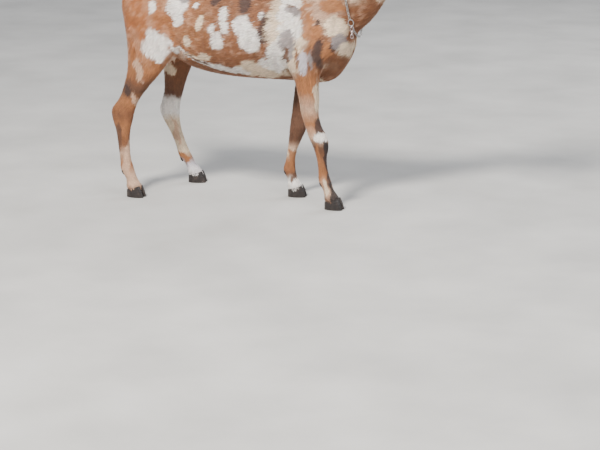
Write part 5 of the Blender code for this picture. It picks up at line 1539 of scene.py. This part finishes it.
def dewclaw_horns(name):
    """The horn of the two small claws behind the fetlock."""
    x, y, z, _, back, half = LEGS[name][-4]
    lean = Matrix.Rotation(DEWCLAW_LEAN, 3, "Y")
    made = []
    for side in (1, -1):
        centre = (x - back * DEWCLAW_BACK + HORN_FORWARD, y + side * half * DEWCLAW_OUT, z - DEWCLAW_DROP)
        horn = ball("dewclaw", centre, tuple(r * HORN_SIZE for r in DEWCLAW_RADII), 24, 16, lean)
        points = points_of(horn) - np.asarray(centre)
        narrow = HORN_WIDTH - HORN_TAPER * np.clip(-points[:, 2] / DEWCLAW_RADII[2], -1, 1)
        points[:, :2] *= narrow[:, None]
        set_points(horn, points + np.asarray(centre))
        made.append(horn)
    horn = joined("dewclaws_" + name, made)
    horn.data.shade_smooth()
    return horn


def ring_tube(name, centre, first, second, radii, wire, turns, corners):
    """A ring of wire, whose long and short ways are first and second."""
    first, second = np.asarray(first), np.asarray(second)
    third = np.cross(first, second)
    points = []
    for t in np.linspace(0, 2 * math.pi, turns, endpoint=False):
        at = first * math.cos(t) * radii[0] + second * math.sin(t) * radii[1]
        out = first * math.cos(t) / radii[0] + second * math.sin(t) / radii[1]
        out /= np.linalg.norm(out)
        for j in range(corners):
            a = 2 * math.pi * j / corners
            points.append(np.asarray(centre) + at + wire * (out * math.cos(a) + third * math.sin(a)))
    made = mesh_object(name, points, bands(turns, corners, closed=True))
    made.data.shade_smooth()
    return made


def collar(tree):
    """Real links, each passed through the next, from one side of the ring round the neck to the other."""
    places, normals = map(np.array, collar_route(tree, np.linspace(RING_TURN, RING_TURN + 2 * math.pi, 400)))
    at = np.concatenate([[0.0], np.cumsum(np.linalg.norm(np.diff(places, axis=0), axis=1))])

    def along_route(rows, where):
        return np.array([np.interp(where, at, column) for column in rows.T])

    start = RING_RADII[1] + RING_WIRE
    length = at[-1] - 2 * start
    pitch = LINK_LENGTH * LINK_PITCH
    count = round(length / pitch)
    radii = (pitch * 0.5 + LINK_OVERLAP, LINK_WIDTH / 2 - 0.0008)
    links = []
    for i in range(count):
        middle = start + length * (i + 0.5) / count
        before, place, after = (along_route(places, middle + d) for d in (-0.004, 0.0, 0.004))
        along = after - before
        along /= np.linalg.norm(along)
        out = along_route(normals, middle)
        out -= (out @ along) * along
        out /= np.linalg.norm(out)
        side = np.cross(along, out)
        spin = math.radians(45 if i % 2 else -45)
        wide = out * math.cos(spin) + side * math.sin(spin)
        links.append(ring_tube("link", place, along, wide, radii, LINK_WIRE, 20, 8))
    chain = joined("chain_links", links)
    chain.data.shade_smooth()
    return chain


def ring_and_hook(tree):
    """The collar's ring, and the snap hook that hangs free from it."""
    turns = (RING_TURN, RING_TURN + 0.05, RING_TURN - 0.05)
    (place, ahead, behind), (normal, _, _) = collar_route(tree, turns)
    down = (behind - ahead).normalized()
    if down.z > 0:
        down = -down
    place = place + normal * 0.0005
    normal = (normal - normal.dot(down) * down).normalized()
    across = down.cross(normal)
    ring = ring_tube("ring_wire", place, across, down, RING_RADII, RING_WIRE, 48, 14)
    top = place + down * RING_RADII[1] + SNAP_LINE * (RING_WIRE + 2 * GAP) + normal * 0.0030
    side = SNAP_LINE.cross(normal).normalized()
    face = side.cross(SNAP_LINE).normalized()
    route = np.array([top + SNAP_LINE * depth for depth, _ in BARREL])
    rise = np.array([half for _, half in BARREL])
    faces, sides = directions(len(BARREL), face), directions(len(BARREL), side)
    parts = [
        ring_tube("hook", top + SNAP_LINE * 0.0065, side, -SNAP_LINE, (0.0052, 0.0068), 0.0016, 40, 12),
        mesh_object("barrel", *loft(route, faces, sides, rise, rise, rise * 1.1, 2, 0, 0, 24)),
        ring_tube("swivel", top + SNAP_LINE * 0.0320, side, -SNAP_LINE, (0.0048, 0.0050), 0.0015, 32, 12),
        ball("thumb", top + SNAP_LINE * 0.0160 + face * 0.0046, (0.0013, 0.0013, 0.0020), 16, 10),
    ]
    hook = joined("snap_hook", parts)
    hook.data.shade_smooth()
    return ring, hook


def lashes(side, count=30):
    """Short dark lashes along the upper lid."""
    along, across, out = eye_frame(side)
    if across.z < 0:
        across = -across
    place = head_place(EYE_PLACE, side)
    points, faces = [], []
    for i in range(count):
        share = -0.85 + 1.7 * i / (count - 1) + 0.03 * (random.random() - 0.5)
        x = share * EYE_OPENING[0] / 2
        y = math.sqrt(1 - share * share) * EYE_OPENING[1] / 2 + 0.0008
        ahead = math.sqrt(max((EYE_RADIUS + 0.0014) ** 2 - x * x - y * y, 1e-9))
        root = place + along * x + across * y + out * ahead
        grow = (out + across * 0.35 + along * share * 0.4).normalized()
        bend = (grow + across * 0.5).normalized()
        reach = 0.0045 + 0.002 * random.random()
        first = len(points)
        for t, wire, way in ((0.0, 0.00022, grow), (0.5, 0.00016, grow), (1.0, 0.00004, bend)):
            base = root + way * reach * t
            for j in range(3):
                a = 2 * math.pi * j / 3
                points.append(base + along * math.cos(a) * wire + out.cross(along) * math.sin(a) * wire)
        faces += bands(3, 3, first)
        faces += [(first, first + 1, first + 2), (first + 6, first + 7, first + 8)]
    return mesh_object("lashes", points, faces)


def placed(obj, name, paint, slot, *nodes):
    obj.name = name
    obj.data.name = name
    obj.data.materials.clear()
    obj.data.materials.append(paint)
    obj.location = SHIFT.tolist()
    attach(obj, "root")
    if nodes:
        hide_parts(*nodes)
    return obj


coat_paint = coat_material("goat_coat", 0.72, 900.0, 0.0004)
skin_paint = coat_material("goat_skin", 0.70, 420.0, 0.0012)
horn_paint = horn_material()
steel_paint = steel_material("collar_steel", (0.60, 0.58, 0.56), 0.33)
snap_paint = steel_material("snap_steel", (0.50, 0.40, 0.38), 0.30)
eye_paint = eye_material()
lash_paint = plain_material("lash_hair", tuple(shade(40, 32, 28).tolist()), 0.6, 300.0)

skin = whole_skin()
skin_places = points_of(skin)
coat_colour(skin, markings(skin_places, blended(skin_places)[4], normals_of(skin)) * 0.90)
skin.data.shade_smooth()
pieces = coat_pieces(skin)
FLESH = ["head", "neck", "torso", "tail", "ear_left", "ear_right", *LEGS]
placed(skin, "goat_skin", skin_paint, "coat", *FLESH)
for piece in pieces:
    placed(piece, piece.name, coat_paint, "coat")
for side, label in ((1, "left"), (-1, "right")):
    placed(eyeball(side), "eyeball_" + label, eye_paint, "eye", "eye_" + label)
    placed(lashes(side), "lashes_" + label, lash_paint, "coat")
for hoof in HOOVES:
    for side, label in ((1, "left"), (-1, "right")):
        placed(fine_claw(hoof, side), f"claw_{hoof}_{label}", horn_paint, "horn", f"hoof_{hoof}_{label}_claw")
    placed(dewclaw_horns(hoof), "dewclaws_" + hoof, horn_paint, "horn")

# The collar lies on the neck and trunk alone
bare_neck = flesh("bare_neck", [ridge("whole_neck", NECK, 60, 60, *NECK_PINCH), trunk()],
                  BODY_VOXEL, SOFT_ZONES)
neck_tree = tree_of(bare_neck)
bpy.data.objects.remove(bare_neck, do_unlink=True)
placed(collar(neck_tree), "chain_links", steel_paint, "steel", "collar_chain")
ring, hook = ring_and_hook(neck_tree)
placed(ring, "ring_wire", steel_paint, "steel", "collar_ring")
placed(hook, "snap_hook", snap_paint, "steel", "collar_snap")


# Floor, light and camera

def floor():
    mesh = bpy.data.meshes.new("floor")
    mesh.from_pydata([(-30, -30, 0), (30, -30, 0), (30, 30, 0), (-30, 30, 0)], [], [(0, 1, 2, 3)])
    obj = shown("floor", mesh)
    mesh.materials.append(plain_material("floor_paint", (0.50, 0.49, 0.47), 0.8, 3.0))


def lamp(name, place, aim, size, power, tint=(1, 1, 1)):
    data = bpy.data.lights.new(name, "AREA")
    data.shape = "RECTANGLE"
    data.size = size
    data.size_y = size
    data.energy = power
    data.color = tint
    obj = shown(name, data)
    obj.location = place
    obj.rotation_euler = (Vector(aim) - Vector(place)).to_track_quat("-Z", "Y").to_euler()


CAMERA_TURN, CAMERA_RISE, CAMERA_AWAY = math.radians(18), math.radians(15.2), 6.0
CAMERA_AIM = Vector((0.1372, -0.3130, 0.0))
CAMERA_LENS = 111.6


def camera():
    level = math.cos(CAMERA_RISE)
    back = Vector((math.sin(CAMERA_TURN) * level, -math.cos(CAMERA_TURN) * level, math.sin(CAMERA_RISE)))
    data = bpy.data.cameras.new("camera")
    data.sensor_width = 36.0
    data.lens = CAMERA_LENS
    data.clip_end = 100
    obj = shown("camera", data)
    obj.location = CAMERA_AIM + back * CAMERA_AWAY
    obj.rotation_euler = (-back).to_track_quat("-Z", "Y").to_euler()
    bpy.context.scene.camera = obj


floor()
world = bpy.data.worlds.new("soft_sky")
world.use_nodes = True
world.node_tree.nodes["Background"].inputs["Color"].default_value = (0.86, 0.91, 1.0, 1.0)
world.node_tree.nodes["Background"].inputs["Strength"].default_value = 0.70
bpy.context.scene.world = world
lamp("key", (-0.9, -3.6, 4.6), (0, 0, 0.4), 1.0, 640, (1.0, 0.96, 0.90))
lamp("fill", (3.6, -2.5, 2.0), (0, 0, 0.5), 2.5, 85)
lamp("back", (1.5, 3.5, 3.2), (0, 0, 0.6), 2.5, 120)
camera()
